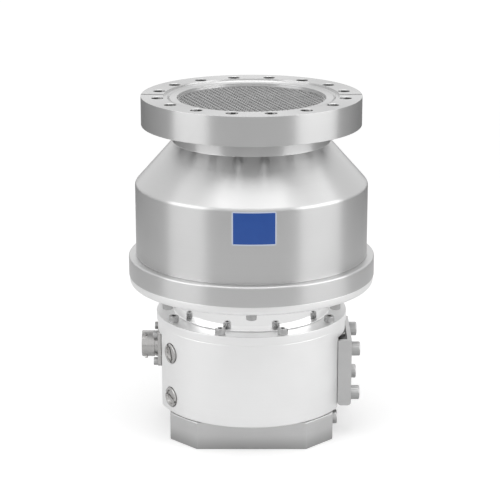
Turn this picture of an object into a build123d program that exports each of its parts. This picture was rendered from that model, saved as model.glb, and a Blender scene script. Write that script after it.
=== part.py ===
from build123d import *
from math import cos, hypot, pi, radians, sin, tan
import os

os.makedirs("parts", exist_ok=True)

# A turbomolecular vacuum pump with a rotor that floats on magnetic bearings. It stands on its foot,
# with the inlet flange on top. The origin is the centre of the foot's underside, on the rotor's axis,
# and +Z runs up the axis. The front of the pump faces -Y.

# ---- Heights of the outer stages, from the foot up ----
foot_height = 19.3
housing_height = 59.4
ledge_height = 6.1
neck_gap = 21.2  # clear height between the ledge and the wide seat flange
seat_height = 6.0
band_height = 14.1
barrel_height = 50.9
cone_height = 29.6
collar_height = 11.4
flange_height = 20.0

# ---- Main radii and widths ----
bore_radius = 51.2  # metal-sealed inlet flange of nominal bore 100
barrel_radius = 80.8
hub_radius = 47.0  # rotor bell, between the blades and below them
housing_radius = 66.3
foot_width = 113.6
foot_corner = 19.0

# ---- Inlet flange, outwards from its bore ----
collar_wall = 3.3
knife_step = 6.4
gasket_step = 9.1
bolt_step = 13.95
flange_step = 24.8
collar_radius = bore_radius + collar_wall
knife_radius = bore_radius + knife_step
gasket_radius = bore_radius + gasket_step
bolt_circle_radius = bore_radius + bolt_step
flange_radius = bore_radius + flange_step
bolt_count = 16
bolt_hole_radius = 4.2
gasket_depth = 1.4
knife_width = 1.2
knife_rise = 0.7
knife_relief = 1.0
leak_groove_width = 3.0
leak_groove_depth = 1.0

# ---- Casing, outwards from its barrel ----
casing_wall = 4.0
band_step = 5.2
seat_step = 0.5  # the base's seat flange is this much smaller than the band
throat_step = 1.4  # ledge that carries the screen
relief_step = 0.8  # shallow groove where the barrel meets the band
relief_height = 1.6
shoulder_round = 4.0
band_radius = barrel_radius + band_step
seat_radius = band_radius - seat_step

# ---- Flats of the base, inwards from the housing ----
left_cut = 3.3
right_cut = 5.8
rear_cut = 4.3
left_flat = housing_radius - left_cut  # the connector's flat
right_flat = housing_radius - right_cut  # the side cover's flat
rear_flat = housing_radius - rear_cut  # the exhaust's flat
flat_margin = 7.2  # the flats end this far below the rim that takes the neck's screws
ledge_step = 0.8
ledge_radius = housing_radius + ledge_step

# ---- Fits and clearances ----
seat_fit = 0.05  # radial clearance of still pieces in their seats
tip_gap = 0.6  # rotor blades to the rings around them
hub_gap = 0.6  # stator discs to the hub inside them
drag_gap = 0.5  # drag cylinder to the grooved sleeve
row_gap = 1.2  # axial gap between the blade rows
magnet_gap = 0.5  # radial gap of motor and magnets to the shaft's sleeves
touch_gap = 0.3  # clearance of the touch-down bearings round the shaft
thread_fit = 0.05  # screw shanks in their threaded holes

# ---- Rotor ----
bell_wall = 5.0
hub_overlap = 1.0  # blades are one piece with the hub and start this far inside it
crown_bevel = 3.0
crown_height = 12.0  # solid top of the bell
crown_rise = 2.0  # crown above the first blade row
crown_recess_radius = 24.0
crown_recess = 6.0
rotor_rows = [  # height, blade angle from the disc plane, blade count
    (9.0, 40, 20),
    (7.0, 35, 24),
    (6.0, 30, 28),
    (5.0, 25, 30),
    (5.0, 22, 30),
]
stator_rows = [(5.0, 38, 24), (4.5, 32, 28), (4.0, 28, 30), (4.0, 24, 30)]
blade_thickness = 1.1
spacer_wall = 3.4
rim_thickness = 1.2
rim_lip = 1.2  # the rim stands this far inside the spacer rings and holds the blades' ends
blade_end_gap = 0.3  # stator blades end this far inside the spacer rings
stator_ring = 2.4  # radial width of a stator disc's inner ring
stator_overlap = 0.8
split_gap = 0.4  # cut between the two halves of a stator disc
skirt_lift = 22.0  # open end of the bell above the housing's floor
shaft_radius = 10.0
sleeve_wall = 3.0
journal_radius = 9.5
tail_radius = 9.0
shaft_flange_radius = 20.0
shaft_flange_height = 6.0
shaft_nose_radius = 8.0
shaft_nose_height = 4.0

# ---- Drag stage round the bell ----
drag_wall = 3.7
drag_groove_count = 6
drag_groove_width = 14.0
drag_groove_depth = 2.2
drag_groove_angle = 24.0
sleeve_seat_radius = hub_radius + drag_gap + drag_wall
chamber_step = 1.8  # shoulder that the sleeve stands on
chamber_radius = sleeve_seat_radius - chamber_step
neck_wall = 3.3
neck_radius = sleeve_seat_radius + neck_wall

# ---- Inner stator parts ----
floor_height = 12.7  # floor of the base housing
column_gap = 2.5  # column to the bell that turns round it
column_wall = 6.5
column_flange_step = 8.5
column_flange_height = 6.0
race_outer_radius = 16.0
race_width = 7.0
ball_radius = 1.3
ball_fit = 0.1
ball_count = 9
thrust_margin = 6.0  # radial space from the thrust disc to the column's bore
thrust_height = 4.0
thrust_gap = 0.8
thrust_clearance = 3.0  # radial space round the thrust disc
nut_height = 5.0
bell_inner = hub_radius - bell_wall
column_radius = bell_inner - column_gap
column_inner = column_radius - column_wall
column_flange_radius = column_radius + column_flange_step
thrust_radius = column_inner - thrust_margin

# ---- Sides of the base ----
connector_drop = 13.5  # below the top of the flats
connector_plate = 26.0
connector_plate_height = 2.4
connector_reach = 14.8
connector_radius = 9.3
connector_wall = 1.5
connector_screw_spacing = 20.0
gasket_sheet = 0.8
upper_port_drop = 16.0  # below the housing's rim
lower_port_rise = 11.3  # above the housing's foot
port_angle = 57.7  # from the front towards the left
cover_margin = 2.0  # from the cover to the top and the bottom of the flat
cover_width = 56.0
cover_depth = 9.5
cover_wall = 3.0
cover_screw_edges = 15.7  # cover's height less the spacing of its screws
cover_screws_y = 44.0
exhaust_shift = 0.4  # exhaust's centre below the middle of the flat
exhaust_radius = 12.0
exhaust_wall = 2.0
exhaust_flange_radius = 20.0
exhaust_reach = 36.0
exhaust_plate = 44.0
exhaust_plate_height = 6.0
vent_y = -25.0
vent_height = 12.0

# ---- Levels worked out from the heights ----
housing_bottom = foot_height
housing_top = housing_bottom + housing_height
ledge_top = housing_top + ledge_height
seat_bottom = ledge_top + neck_gap
seat_top = seat_bottom + seat_height
band_top = seat_top + band_height
barrel_top = band_top + barrel_height
cone_top = barrel_top + cone_height
flange_bottom = cone_top + collar_height
top = flange_bottom + flange_height
floor_top = housing_bottom + floor_height
flat_top = housing_top - flat_margin
connector_height = flat_top - connector_drop
flat_middle = (housing_bottom + flat_top) / 2
cover_height = flat_top - housing_bottom - 2 * cover_margin
cover_screws_z = cover_height - cover_screw_edges
cover_centre = flat_middle
exhaust_centre = flat_middle - exhaust_shift
port_heights = (housing_top - upper_port_drop, housing_bottom + lower_port_rise)

# ---- Inner wall of the casing, parallel to the cone ----
cone_run = barrel_radius - collar_radius
cone_slant = hypot(cone_run, cone_height)
wall_drop = casing_wall * cone_run / cone_slant
wall_inset = casing_wall * cone_height / cone_slant
stack_radius = barrel_radius - casing_wall  # bore that holds the spacer rings
throat_radius = bore_radius - throat_step
cone_rate = cone_run / cone_height


def inner_cone_level(radius):
    """Height at which the casing's inner cone has the radius."""
    return cone_top - wall_drop - (radius - (collar_radius - wall_inset)) / cone_rate


stack_top = inner_cone_level(stack_radius)
throat_bottom = inner_cone_level(throat_radius)

# ---- Blade rows, from the top of the stack down ----
spacer_inner = stack_radius - spacer_wall
tip_radius = spacer_inner - tip_gap
first_row_rise = 2.6  # the first row stands this far above the spacer rings, inside the cone
rotor_spans = []
stator_spans = []
level = stack_top + first_row_rise
for index, (row_height, row_angle, row_count) in enumerate(rotor_rows):
    rotor_spans.append((level - row_height, level))
    level -= row_height + row_gap
    if index < len(stator_rows):
        stator_height = stator_rows[index][0]
        stator_spans.append((level - stator_height, level))
        level -= stator_height + row_gap
crown_top = rotor_spans[0][1] + crown_rise
crown_bottom = crown_top - crown_height
skirt_bottom = floor_top + skirt_lift

# ---- Shaft and column levels ----
shaft_flange_bottom = crown_bottom - shaft_flange_height
column_top = shaft_flange_bottom - 4.0
column_bottom = floor_top
web_thickness = 1.5  # rims that hold the touch-down bearings in place
upper_race_bottom = column_top - race_width - 1.0
lower_race_bottom = column_bottom + 11.0
upper_web = (upper_race_bottom - web_thickness, column_top)
lower_web = (lower_race_bottom, lower_race_bottom + race_width + web_thickness)
sleeves_bottom = lower_web[1]
sleeves_top = upper_web[0]
sleeve_radius = shaft_radius + sleeve_wall
sensor_height = 6.0
magnet_height = 16.0
sensor_lift = 0.5
sensor_spacing = 1.5
lower_sensor_bottom = lower_web[1] + sensor_lift
lower_magnet_bottom = lower_sensor_bottom + sensor_height + sensor_spacing
upper_sensor_bottom = upper_web[0] - sensor_lift - sensor_height
upper_magnet_bottom = upper_sensor_bottom - sensor_spacing - magnet_height
winding_height = 5.0
motor_gap = 2.5  # between the end turns and the radial magnets
motor_bottom = lower_magnet_bottom + magnet_height + motor_gap + winding_height
motor_top = upper_magnet_bottom - motor_gap - winding_height
thrust_bottom = housing_bottom + 11.2


def polar(radius, angle, z=0.0):
    """A point at the radius, at an angle from the front, positive towards the right."""
    return (radius * sin(radians(angle)), -radius * cos(radians(angle)), z)


def write(builder, name):
    """Labels a finished piece and writes it."""
    builder.part.label = name
    export_step(builder.part, f"parts/{name}.step")


def ring(inner, outer, bottom, ring_top):
    """Adds a plain ring round the axis to the piece that is being built."""
    with BuildSketch(Plane.XY.offset(bottom)) as plan:
        Circle(outer)
        Circle(inner, mode=Mode.SUBTRACT)
    extrude(plan.sketch, amount=ring_top - bottom)


def turned(points):
    """Turns a closed outline of radius and height about the axis."""
    with BuildSketch(Plane.XZ) as outline:
        with BuildLine():
            Polyline(*points, close=True)
        make_face()
    revolve(outline.sketch, axis=Axis.Z)


def cap_screw(head_radius, head_height, shank_radius, shank_length, socket):
    """A socket-head cap screw whose head stands on its origin, with the shank below."""
    with BuildPart(mode=Mode.PRIVATE) as screw:
        Cylinder(head_radius, head_height, align=(Align.CENTER, Align.CENTER, Align.MIN))
        chamfer(screw.edges().group_by(Axis.Z)[-1], head_height * 0.1)
        Cylinder(shank_radius, shank_length, align=(Align.CENTER, Align.CENTER, Align.MAX))
        with BuildSketch(Plane.XY.offset(head_height)):
            RegularPolygon(socket / 2, 6, major_radius=False)
        extrude(amount=-head_height * 0.55, mode=Mode.SUBTRACT)
    return screw.part


def o_ring(name, radius, section, level):
    """A rubber ring lying round the axis."""
    with BuildPart() as seal:
        with BuildSketch(Plane.XZ):
            with Locations((radius, level)):
                Circle(section)
        revolve(axis=Axis.Z)
    write(seal, name)


# ---- Screw sizes: head radius, head height, shank radius, socket across flats ----
m4_head, m4_head_height, m4_shank, m4_socket = 3.5, 4.0, 2.0, 3.0
m5_head, m5_head_height, m5_shank, m5_socket = 4.25, 5.0, 2.5, 4.0
m6_head, m6_head_height, m6_shank, m6_socket = 5.0, 6.0, 3.0, 5.0
hole_clearance = 0.25

casing_screw_circle = seat_radius - 5.5
casing_screw_count = 8
casing_screw_depth = 10.0
neck_screw_circle = housing_radius - 4.3
neck_screw_count = 9
neck_screw_first = 20.0
neck_screw_depth = 6.4
foot_screw_circle = 50.0
foot_screw_count = 6
foot_screw_depth = 9.0
foot_screw_recess = 8.0
column_screw_circle = column_radius + 4.5
column_screw_count = 6
column_screw_depth = 9.0
rotor_screw_circle = 15.0
rotor_screw_count = 6
mount_hole_spacing = foot_width - 29.6
mount_hole_radius = 3.4
mount_hole_depth = 14.0

# The screen's seat lies a little under the inner rim of the inlet.
face_level = top - gasket_depth
inner_face = face_level - 0.2  # the ring inside the knife edge is cut back a little
screen_seat = face_level - 3.4
screen_rim = 2.0
screen_thickness = 0.6
screen_ring_height = 0.8
screen_pitch = 6.5
screen_bar = 0.7
screen_angle = 33.0

# ======================================================================================
# Casing: flange, collar, cone, barrel and lower band turned from one piece of steel
# ======================================================================================
with BuildPart() as casing:
    turned([
        (bore_radius, inner_face),
        (knife_radius - knife_width, inner_face),
        (knife_radius - knife_width, face_level - knife_relief),
        (knife_radius, face_level + knife_rise),
        (knife_radius + 0.2, face_level),
        (gasket_radius, face_level),
        (gasket_radius, top),
        (flange_radius, top),
        (flange_radius, flange_bottom),
        (collar_radius, flange_bottom),
        (collar_radius, cone_top),
        (barrel_radius, barrel_top),
        (barrel_radius, band_top + relief_height),
        (barrel_radius - relief_step, band_top + relief_height),
        (barrel_radius - relief_step, band_top),
        (band_radius, band_top),
        (band_radius, seat_top),
        (stack_radius, seat_top),
        (stack_radius, stack_top),
        (throat_radius, throat_bottom),
        (throat_radius, screen_seat),
        (bore_radius, screen_seat),
    ])
    rims = casing.edges().filter_by(GeomType.CIRCLE)
    outer_rims = rims.filter_by(lambda e: abs(e.radius - flange_radius) < 0.01)
    chamfer(outer_rims, 0.6)
    band_rims = casing.edges().filter_by(GeomType.CIRCLE)
    band_rims = band_rims.filter_by(lambda e: abs(e.radius - band_radius) < 0.01)
    chamfer(band_rims, 0.8)
    shoulder = casing.edges().filter_by(GeomType.CIRCLE)
    shoulder = shoulder.filter_by(
        lambda e: abs(e.radius - barrel_radius) < 0.01 and e.center().Z > barrel_top - 0.01
    )
    fillet(shoulder, shoulder_round)
    with BuildSketch(Plane.XY.offset(top)):
        with PolarLocations(bolt_circle_radius, bolt_count, start_angle=180 / bolt_count):
            Circle(bolt_hole_radius)
    extrude(amount=-flange_height, mode=Mode.SUBTRACT)
    # Leak-check grooves lead from the gasket's recess to the rim, one at each side.
    groove_length = flange_radius - gasket_radius + 2.0
    groove_middle = (flange_radius + gasket_radius) / 2
    with Locations((-groove_middle, 0, top), (groove_middle, 0, top)):
        Box(groove_length, leak_groove_width, 2 * leak_groove_depth, mode=Mode.SUBTRACT)
    # Blind threaded holes take the screws that come up through the seat flange.
    with BuildSketch(Plane.XY.offset(seat_top)):
        with PolarLocations(casing_screw_circle, casing_screw_count, start_angle=-90):
            Circle(m4_shank + thread_fit)
    extrude(amount=casing_screw_depth + 1.0, mode=Mode.SUBTRACT)
write(casing, "inlet_casing")

# ======================================================================================
# Inlet screen: wire mesh in a thin rim, held down by a ring
# ======================================================================================
with BuildPart() as screen:
    with BuildSketch(Plane.XY.offset(screen_seat)) as screen_plan:
        rows = int((bore_radius - screen_rim) / screen_pitch)
        for turn in (0, 90):
            with Locations(Location((0, 0, 0), screen_angle + turn)):
                with GridLocations(0, screen_pitch, 1, 2 * rows + 1):
                    Rectangle(3 * bore_radius, screen_bar)
        Circle(bore_radius - screen_rim / 2, mode=Mode.INTERSECT)
        with BuildSketch(mode=Mode.PRIVATE) as rim_plan:
            Circle(bore_radius - seat_fit)
            Circle(bore_radius - screen_rim, mode=Mode.SUBTRACT)
        add(rim_plan.sketch)
    extrude(amount=screen_thickness)
write(screen, "inlet_screen")

with BuildPart() as screen_ring:
    ring_bottom = screen_seat + screen_thickness
    ring(bore_radius - 1.2, bore_radius - seat_fit, ring_bottom, ring_bottom + screen_ring_height)
write(screen_ring, "screen_ring")


# ======================================================================================
# Blade rows: flat blades set at an angle, trimmed to the radii of their row
# ======================================================================================
def blade(row_height, angle, inner, outer):
    """One blade at +X, leaning over by the angle, between two radii."""
    lean = row_height / tan(radians(angle)) / 2
    half = blade_thickness / sin(radians(angle)) / 2
    lean -= half
    half_height = row_height / 2
    with BuildPart(mode=Mode.PRIVATE) as one:
        with BuildSketch(Plane.YZ.offset(inner)):
            with BuildLine():
                Polyline(
                    (-lean - half, -half_height),
                    (-lean + half, -half_height),
                    (lean + half, half_height),
                    (lean - half, half_height),
                    close=True,
                )
            make_face()
        extrude(amount=outer - inner)
        Cylinder(outer, row_height * 2, mode=Mode.INTERSECT)
    return one.part


with BuildPart() as rotor:
    turned([
        (shaft_nose_radius + seat_fit, crown_bottom),
        (bell_inner, crown_bottom),
        (bell_inner, skirt_bottom),
        (hub_radius, skirt_bottom),
        (hub_radius, crown_top - crown_bevel),
        (hub_radius - crown_bevel, crown_top),
        (crown_recess_radius, crown_top),
        (crown_recess_radius, crown_top - crown_recess),
        (shaft_nose_radius + seat_fit, crown_top - crown_recess),
    ])
    for (low, high), (row_height, angle, count) in zip(rotor_spans, rotor_rows):
        rotor_blade = blade(row_height, angle, hub_radius - hub_overlap, tip_radius)
        with Locations((0, 0, (low + high) / 2)):
            with PolarLocations(0, count):
                add(rotor_blade)
    with BuildSketch(Plane.XY.offset(crown_bottom)):
        with PolarLocations(rotor_screw_circle, rotor_screw_count):
            Circle(m5_shank + hole_clearance)
    extrude(amount=crown_height, mode=Mode.SUBTRACT)
write(rotor, "bladed_rotor")

for number, ((low, high), (row_height, angle, count)) in enumerate(zip(stator_spans, stator_rows), 1):
    ring_inner = hub_radius + hub_gap
    ring_outer = ring_inner + stator_ring
    middle = (low + high) / 2
    half_rim = rim_thickness / 2
    stator_blade = blade(row_height, -angle, ring_outer - stator_overlap, spacer_inner - blade_end_gap)
    with BuildPart() as disc:
        ring(ring_inner, ring_outer, low, high)
        ring(spacer_inner - rim_lip, stack_radius - seat_fit, middle - half_rim, middle + half_rim)
        with Locations((0, 0, middle)):
            with PolarLocations(0, count, start_angle=180 / count):
                add(stator_blade)
        with Locations((0, 0, middle)):
            Box(3 * stack_radius, split_gap, 2 * row_height, mode=Mode.SUBTRACT)
    write(disc, f"stator_disc_{number}")

# Spacer rings set the distance between the discs. The lowest disc lies on the base's spigot.
rim_levels = [((low + high) / 2) for low, high in stator_spans]
spacer_tops = [stack_top] + [middle - rim_thickness / 2 for middle in rim_levels[:-1]]
for number, (spacer_top, middle) in enumerate(zip(spacer_tops, rim_levels), 1):
    with BuildPart() as spacer:
        ring(spacer_inner, stack_radius - seat_fit, middle + rim_thickness / 2, spacer_top)
    write(spacer, f"spacer_ring_{number}")
spigot_top = rim_levels[-1] - rim_thickness / 2

# ======================================================================================
# Base neck: seat flange with spigot, polished neck and ledge flange in one piece
# ======================================================================================
o_ring_section = 1.0
groove_width = 2.6
groove_depth = 2.0
spigot_groove = seat_top + 4.0
with BuildPart() as neck:
    turned([
        (sleeve_seat_radius, housing_top),
        (ledge_radius, housing_top),
        (ledge_radius, ledge_top),
        (neck_radius, ledge_top),
        (neck_radius, seat_bottom),
        (seat_radius - 1.5, seat_bottom),
        (seat_radius, seat_bottom + 2.5),
        (seat_radius, seat_top),
        (stack_radius - seat_fit, seat_top),
        (stack_radius - seat_fit, spigot_groove),
        (stack_radius - groove_depth, spigot_groove),
        (stack_radius - groove_depth, spigot_groove + groove_width),
        (stack_radius - seat_fit, spigot_groove + groove_width),
        (stack_radius - seat_fit, spigot_top),
        (spacer_inner, spigot_top),
        (spacer_inner, seat_top + 3.0),
        (sleeve_seat_radius + 4.0, seat_top - 1.0),
        (sleeve_seat_radius, seat_top - 1.0),
    ])
    edges_out = neck.edges().filter_by(GeomType.CIRCLE)
    ledge_rims = edges_out.filter_by(lambda e: abs(e.radius - ledge_radius) < 0.01)
    chamfer(ledge_rims, 0.5)
    with BuildSketch(Plane.XY.offset(seat_bottom)):
        with PolarLocations(casing_screw_circle, casing_screw_count, start_angle=-90):
            Circle(m4_shank + hole_clearance)
    extrude(amount=seat_height, mode=Mode.SUBTRACT)
    with BuildSketch(Plane.XY.offset(housing_top)):
        with PolarLocations(neck_screw_circle, neck_screw_count, start_angle=neck_screw_first - 90):
            Circle(m4_shank + hole_clearance)
    extrude(amount=ledge_height, mode=Mode.SUBTRACT)
write(neck, "base_neck")
o_ring("casing_seal", stack_radius - groove_depth + o_ring_section, o_ring_section,
       spigot_groove + groove_width / 2)

with BuildPart() as casing_screws:
    screw = cap_screw(m4_head, m4_head_height, m4_shank, seat_height + casing_screw_depth, m4_socket)
    for index in range(casing_screw_count):
        spot = polar(casing_screw_circle, index * 360 / casing_screw_count, seat_bottom)
        add(screw.moved(Location(Plane(spot, z_dir=(0, 0, -1)))))
write(casing_screws, "casing_screws")

with BuildPart() as neck_screws:
    screw = cap_screw(m4_head, m4_head_height, m4_shank, ledge_height + neck_screw_depth, m4_socket)
    for index in range(neck_screw_count):
        angle = neck_screw_first + index * 360 / neck_screw_count
        add(screw.moved(Location(polar(neck_screw_circle, angle, ledge_top))))
write(neck_screws, "neck_screws")

# ======================================================================================
# Sleeve of the drag stage, with helical grooves that face the turning bell
# ======================================================================================
sleeve_bottom = skirt_bottom - 2.0
sleeve_top = seat_top - 1.0
drag_radius = hub_radius + drag_gap
groove_overrun = 12.0  # the grooves run out at both ends of the sleeve
with BuildPart() as drag_groove:
    with BuildLine() as groove_route:
        Helix(
            pitch=2 * pi * drag_radius * tan(radians(drag_groove_angle)),
            height=sleeve_top - sleeve_bottom + 2 * groove_overrun,
            radius=drag_radius,
            center=(0, 0, sleeve_bottom - groove_overrun),
        )
    with BuildSketch(Plane(groove_route.line @ 0, x_dir=(1, 0, 0), z_dir=groove_route.line % 0)):
        Rectangle(2 * drag_groove_depth, drag_groove_width)
    sweep(path=groove_route.line, is_frenet=True)
with BuildPart() as drag_sleeve:
    ring(drag_radius, sleeve_seat_radius - seat_fit, sleeve_bottom, sleeve_top)
    with PolarLocations(0, drag_groove_count):
        add(drag_groove.part, mode=Mode.SUBTRACT)
write(drag_sleeve, "drag_sleeve")

# ======================================================================================
# Base housing: thick cup with flats for the connector, the side cover and the exhaust
# ======================================================================================
seal_radius = neck_radius + 1.5
connector_hole = connector_radius - 0.5
port_hole_radius = 5.0
port_hole_depth = 11.0
port_seat_radius = 7.4
port_seat = housing_radius - 1.6
cover_screw_depth = 9.0
exhaust_screw_spacing = 34.0
exhaust_screw_depth = 9.0
connector_screw_depth = 6.0
m3_head, m3_head_height, m3_shank, m3_socket = 2.75, 3.0, 1.5, 2.5


def port_plane(height, distance):
    """Plane at a cooling port, facing outwards."""
    return Plane(polar(distance, -port_angle, height), x_dir=(0, 0, 1), z_dir=polar(1, -port_angle))


left_face = Plane((-left_flat, 0, connector_height), x_dir=(0, 1, 0), z_dir=(-1, 0, 0))
right_face = Plane((right_flat, 0, cover_centre), x_dir=(0, 1, 0), z_dir=(1, 0, 0))
rear_face = Plane((0, rear_flat, exhaust_centre), x_dir=(1, 0, 0), z_dir=(0, 1, 0))

with BuildPart() as housing:
    turned([
        (0, housing_bottom),
        (housing_radius, housing_bottom),
        (housing_radius, housing_top),
        (sleeve_seat_radius, housing_top),
        (sleeve_seat_radius, sleeve_bottom),
        (chamber_radius, sleeve_bottom),
        (chamber_radius, floor_top),
        (0, floor_top),
    ])
    flat_height = flat_top - housing_bottom
    flat_depth = 20.0
    for flat_plane, distance in ((left_face, left_flat), (right_face, right_flat), (rear_face, rear_flat)):
        outward = flat_plane.z_dir
        centre = outward * (distance + flat_depth / 2)
        with Locations((centre.X, centre.Y, housing_bottom + flat_height / 2)):
            if abs(outward.X) > 0.5:
                Box(flat_depth, 2 * housing_radius, flat_height, mode=Mode.SUBTRACT)
            else:
                Box(2 * housing_radius, flat_depth, flat_height, mode=Mode.SUBTRACT)
    # Well for the axial bearing, open to the foot below.
    with BuildSketch(Plane.XY.offset(housing_bottom)):
        Circle(thrust_radius + thrust_clearance)
    extrude(amount=floor_height, mode=Mode.SUBTRACT)
    # Groove for the neck's rubber ring, and the threaded holes in the rim and the floor.
    with BuildSketch(Plane.XY.offset(housing_top)):
        Circle(seal_radius + groove_width / 2)
        Circle(seal_radius - groove_width / 2, mode=Mode.SUBTRACT)
    extrude(amount=-groove_depth, mode=Mode.SUBTRACT)
    with BuildSketch(Plane.XY.offset(housing_top)):
        with PolarLocations(neck_screw_circle, neck_screw_count, start_angle=neck_screw_first - 90):
            Circle(m4_shank + thread_fit)
    extrude(amount=-neck_screw_depth - 0.5, mode=Mode.SUBTRACT)
    with BuildSketch(Plane.XY.offset(floor_top)):
        with PolarLocations(column_screw_circle, column_screw_count):
            Circle(m5_shank + thread_fit)
    extrude(amount=-column_screw_depth - 0.5, mode=Mode.SUBTRACT)
    with BuildSketch(Plane.XY.offset(housing_bottom)):
        with PolarLocations(foot_screw_circle, foot_screw_count, start_angle=30):
            Circle(m6_shank + thread_fit)
    extrude(amount=foot_screw_depth + 0.5, mode=Mode.SUBTRACT)
    # Cooling ports with spot faces, at the front left.
    for port_height in port_heights:
        with BuildSketch(port_plane(port_height, port_seat)):
            Circle(port_seat_radius)
        extrude(amount=10, mode=Mode.SUBTRACT)
        with BuildSketch(port_plane(port_height, port_seat)):
            Circle(port_hole_radius)
        extrude(amount=-port_hole_depth, mode=Mode.SUBTRACT)
    # Connector pocket and its screws in the left flat.
    with BuildSketch(left_face):
        Circle(connector_hole)
    extrude(amount=-8.0, mode=Mode.SUBTRACT)
    with BuildSketch(left_face):
        with GridLocations(connector_screw_spacing, connector_screw_spacing, 2, 2):
            Circle(m3_shank + thread_fit)
    extrude(amount=-connector_screw_depth - 0.5, mode=Mode.SUBTRACT)
    # Side cover's screws in the right flat.
    with BuildSketch(right_face):
        with GridLocations(cover_screws_y, cover_screws_z, 2, 2):
            Circle(m6_shank + thread_fit)
    extrude(amount=-cover_screw_depth - 0.5, mode=Mode.SUBTRACT)
    # Exhaust passage and screws in the rear flat.
    with BuildSketch(rear_face):
        Circle(exhaust_radius + 0.5)
    extrude(amount=chamber_radius - rear_flat - 8.0, mode=Mode.SUBTRACT)
    with BuildSketch(rear_face):
        with GridLocations(exhaust_screw_spacing, exhaust_screw_spacing, 2, 2):
            Circle(m5_shank + thread_fit)
    extrude(amount=-exhaust_screw_depth - 0.5, mode=Mode.SUBTRACT)
write(housing, "base_housing")
o_ring("neck_seal", seal_radius, o_ring_section, housing_top - o_ring_section)

# ======================================================================================
# Foot: square block with cut corners, screwed to the housing from below
# ======================================================================================
foot_seal_radius = thrust_radius + 8.0
with BuildPart() as foot:
    with BuildSketch():
        Rectangle(foot_width, foot_width)
    extrude(amount=foot_height)
    chamfer(foot.edges().filter_by(Axis.Z), foot_corner)
    with BuildSketch(Plane.XY.offset(foot_height)):
        Circle(foot_seal_radius + groove_width / 2)
        Circle(foot_seal_radius - groove_width / 2, mode=Mode.SUBTRACT)
    extrude(amount=-groove_depth, mode=Mode.SUBTRACT)
    with BuildSketch():
        with PolarLocations(foot_screw_circle, foot_screw_count, start_angle=30):
            Circle(m6_head + 0.5)
    extrude(amount=foot_screw_recess, mode=Mode.SUBTRACT)
    with BuildSketch():
        with PolarLocations(foot_screw_circle, foot_screw_count, start_angle=30):
            Circle(m6_shank + hole_clearance)
    extrude(amount=foot_height, mode=Mode.SUBTRACT)
    with BuildSketch():
        with GridLocations(mount_hole_spacing, mount_hole_spacing, 2, 2):
            Circle(mount_hole_radius)
    extrude(amount=mount_hole_depth, mode=Mode.SUBTRACT)
    with BuildSketch(Plane((foot_width / 2, vent_y, vent_height), z_dir=(1, 0, 0))):
        Circle(3.5 + thread_fit)
    extrude(amount=-8.5, mode=Mode.SUBTRACT)
write(foot, "foot_block")
o_ring("foot_seal", foot_seal_radius, o_ring_section, foot_height - o_ring_section)

with BuildPart() as foot_screws:
    shank_length = foot_height - foot_screw_recess + foot_screw_depth
    screw = cap_screw(m6_head, m6_head_height, m6_shank, shank_length, m6_socket)
    for index in range(foot_screw_count):
        spot = polar(foot_screw_circle, 120 + index * 360 / foot_screw_count, foot_screw_recess)
        add(screw.moved(Location(Plane(spot, z_dir=(0, 0, -1)))))
write(foot_screws, "foot_screws")

with BuildPart() as vent_plug:
    with BuildSketch(Plane((foot_width / 2, vent_y, vent_height), z_dir=(1, 0, 0))):
        Circle(5.0)
    extrude(amount=3.4)
    chamfer(vent_plug.edges().filter_by(GeomType.CIRCLE).sort_by(Axis.X)[-1], 0.6)
    with BuildSketch(Plane((foot_width / 2, vent_y, vent_height), z_dir=(1, 0, 0))):
        Circle(3.5)
    extrude(amount=-8.0)
    with BuildSketch(Plane((foot_width / 2 + 3.4, vent_y, vent_height), z_dir=(1, 0, 0))):
        RegularPolygon(m5_socket / 2, 6, major_radius=False)
    extrude(amount=-2.4, mode=Mode.SUBTRACT)
write(vent_plug, "vent_plug")

# ======================================================================================
# Column: the tube inside the bell that carries the motor, the magnets and the bearings
# ======================================================================================
web_bore = race_outer_radius - 2.5
with BuildPart() as column:
    turned([
        (column_inner, column_bottom),
        (column_flange_radius, column_bottom),
        (column_flange_radius, column_bottom + column_flange_height),
        (column_radius, column_bottom + column_flange_height),
        (column_radius, column_top),
        (race_outer_radius, column_top),
        (race_outer_radius, upper_race_bottom),
        (web_bore, upper_race_bottom),
        (web_bore, upper_web[0]),
        (column_inner, upper_web[0]),
        (column_inner, lower_web[1]),
        (web_bore, lower_web[1]),
        (web_bore, lower_race_bottom + race_width),
        (race_outer_radius, lower_race_bottom + race_width),
        (race_outer_radius, lower_race_bottom),
        (column_inner, lower_race_bottom),
    ])
    with BuildSketch(Plane.XY.offset(column_bottom)):
        with PolarLocations(column_screw_circle, column_screw_count):
            Circle(m5_shank + hole_clearance)
    extrude(amount=column_flange_height, mode=Mode.SUBTRACT)
write(column, "bearing_column")

with BuildPart() as column_screws:
    shank_length = column_flange_height + column_screw_depth
    screw = cap_screw(m5_head - 0.4, m5_head_height, m5_shank, shank_length, m5_socket)
    with Locations((0, 0, column_bottom + column_flange_height)):
        with PolarLocations(column_screw_circle, column_screw_count):
            add(screw)
write(column_screws, "column_screws")


def slotted_stack(name, inner, bottom, stack_height, slots):
    """A stack of iron laminations in the column, with winding slots open to the bore."""
    with BuildPart() as stack:
        ring(inner, column_inner - seat_fit, bottom, bottom + stack_height)
        slot_length = (column_inner - inner) * 0.62
        with BuildSketch(Plane.XY.offset(bottom)):
            with PolarLocations(inner + slot_length / 2 + 1.5, slots):
                SlotCenterToCenter(slot_length - 4.0, 3.2)
            with PolarLocations(inner, slots):
                Rectangle(5.0, 1.2)
        extrude(amount=stack_height, mode=Mode.SUBTRACT)
    write(stack, name)


stator_bore = sleeve_radius + magnet_gap
slotted_stack("lower_radial_magnet", stator_bore, lower_magnet_bottom, magnet_height, 8)
slotted_stack("upper_radial_magnet", stator_bore, upper_magnet_bottom, magnet_height, 8)
slotted_stack("motor_stator", stator_bore, motor_bottom, motor_top - motor_bottom, 12)

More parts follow.
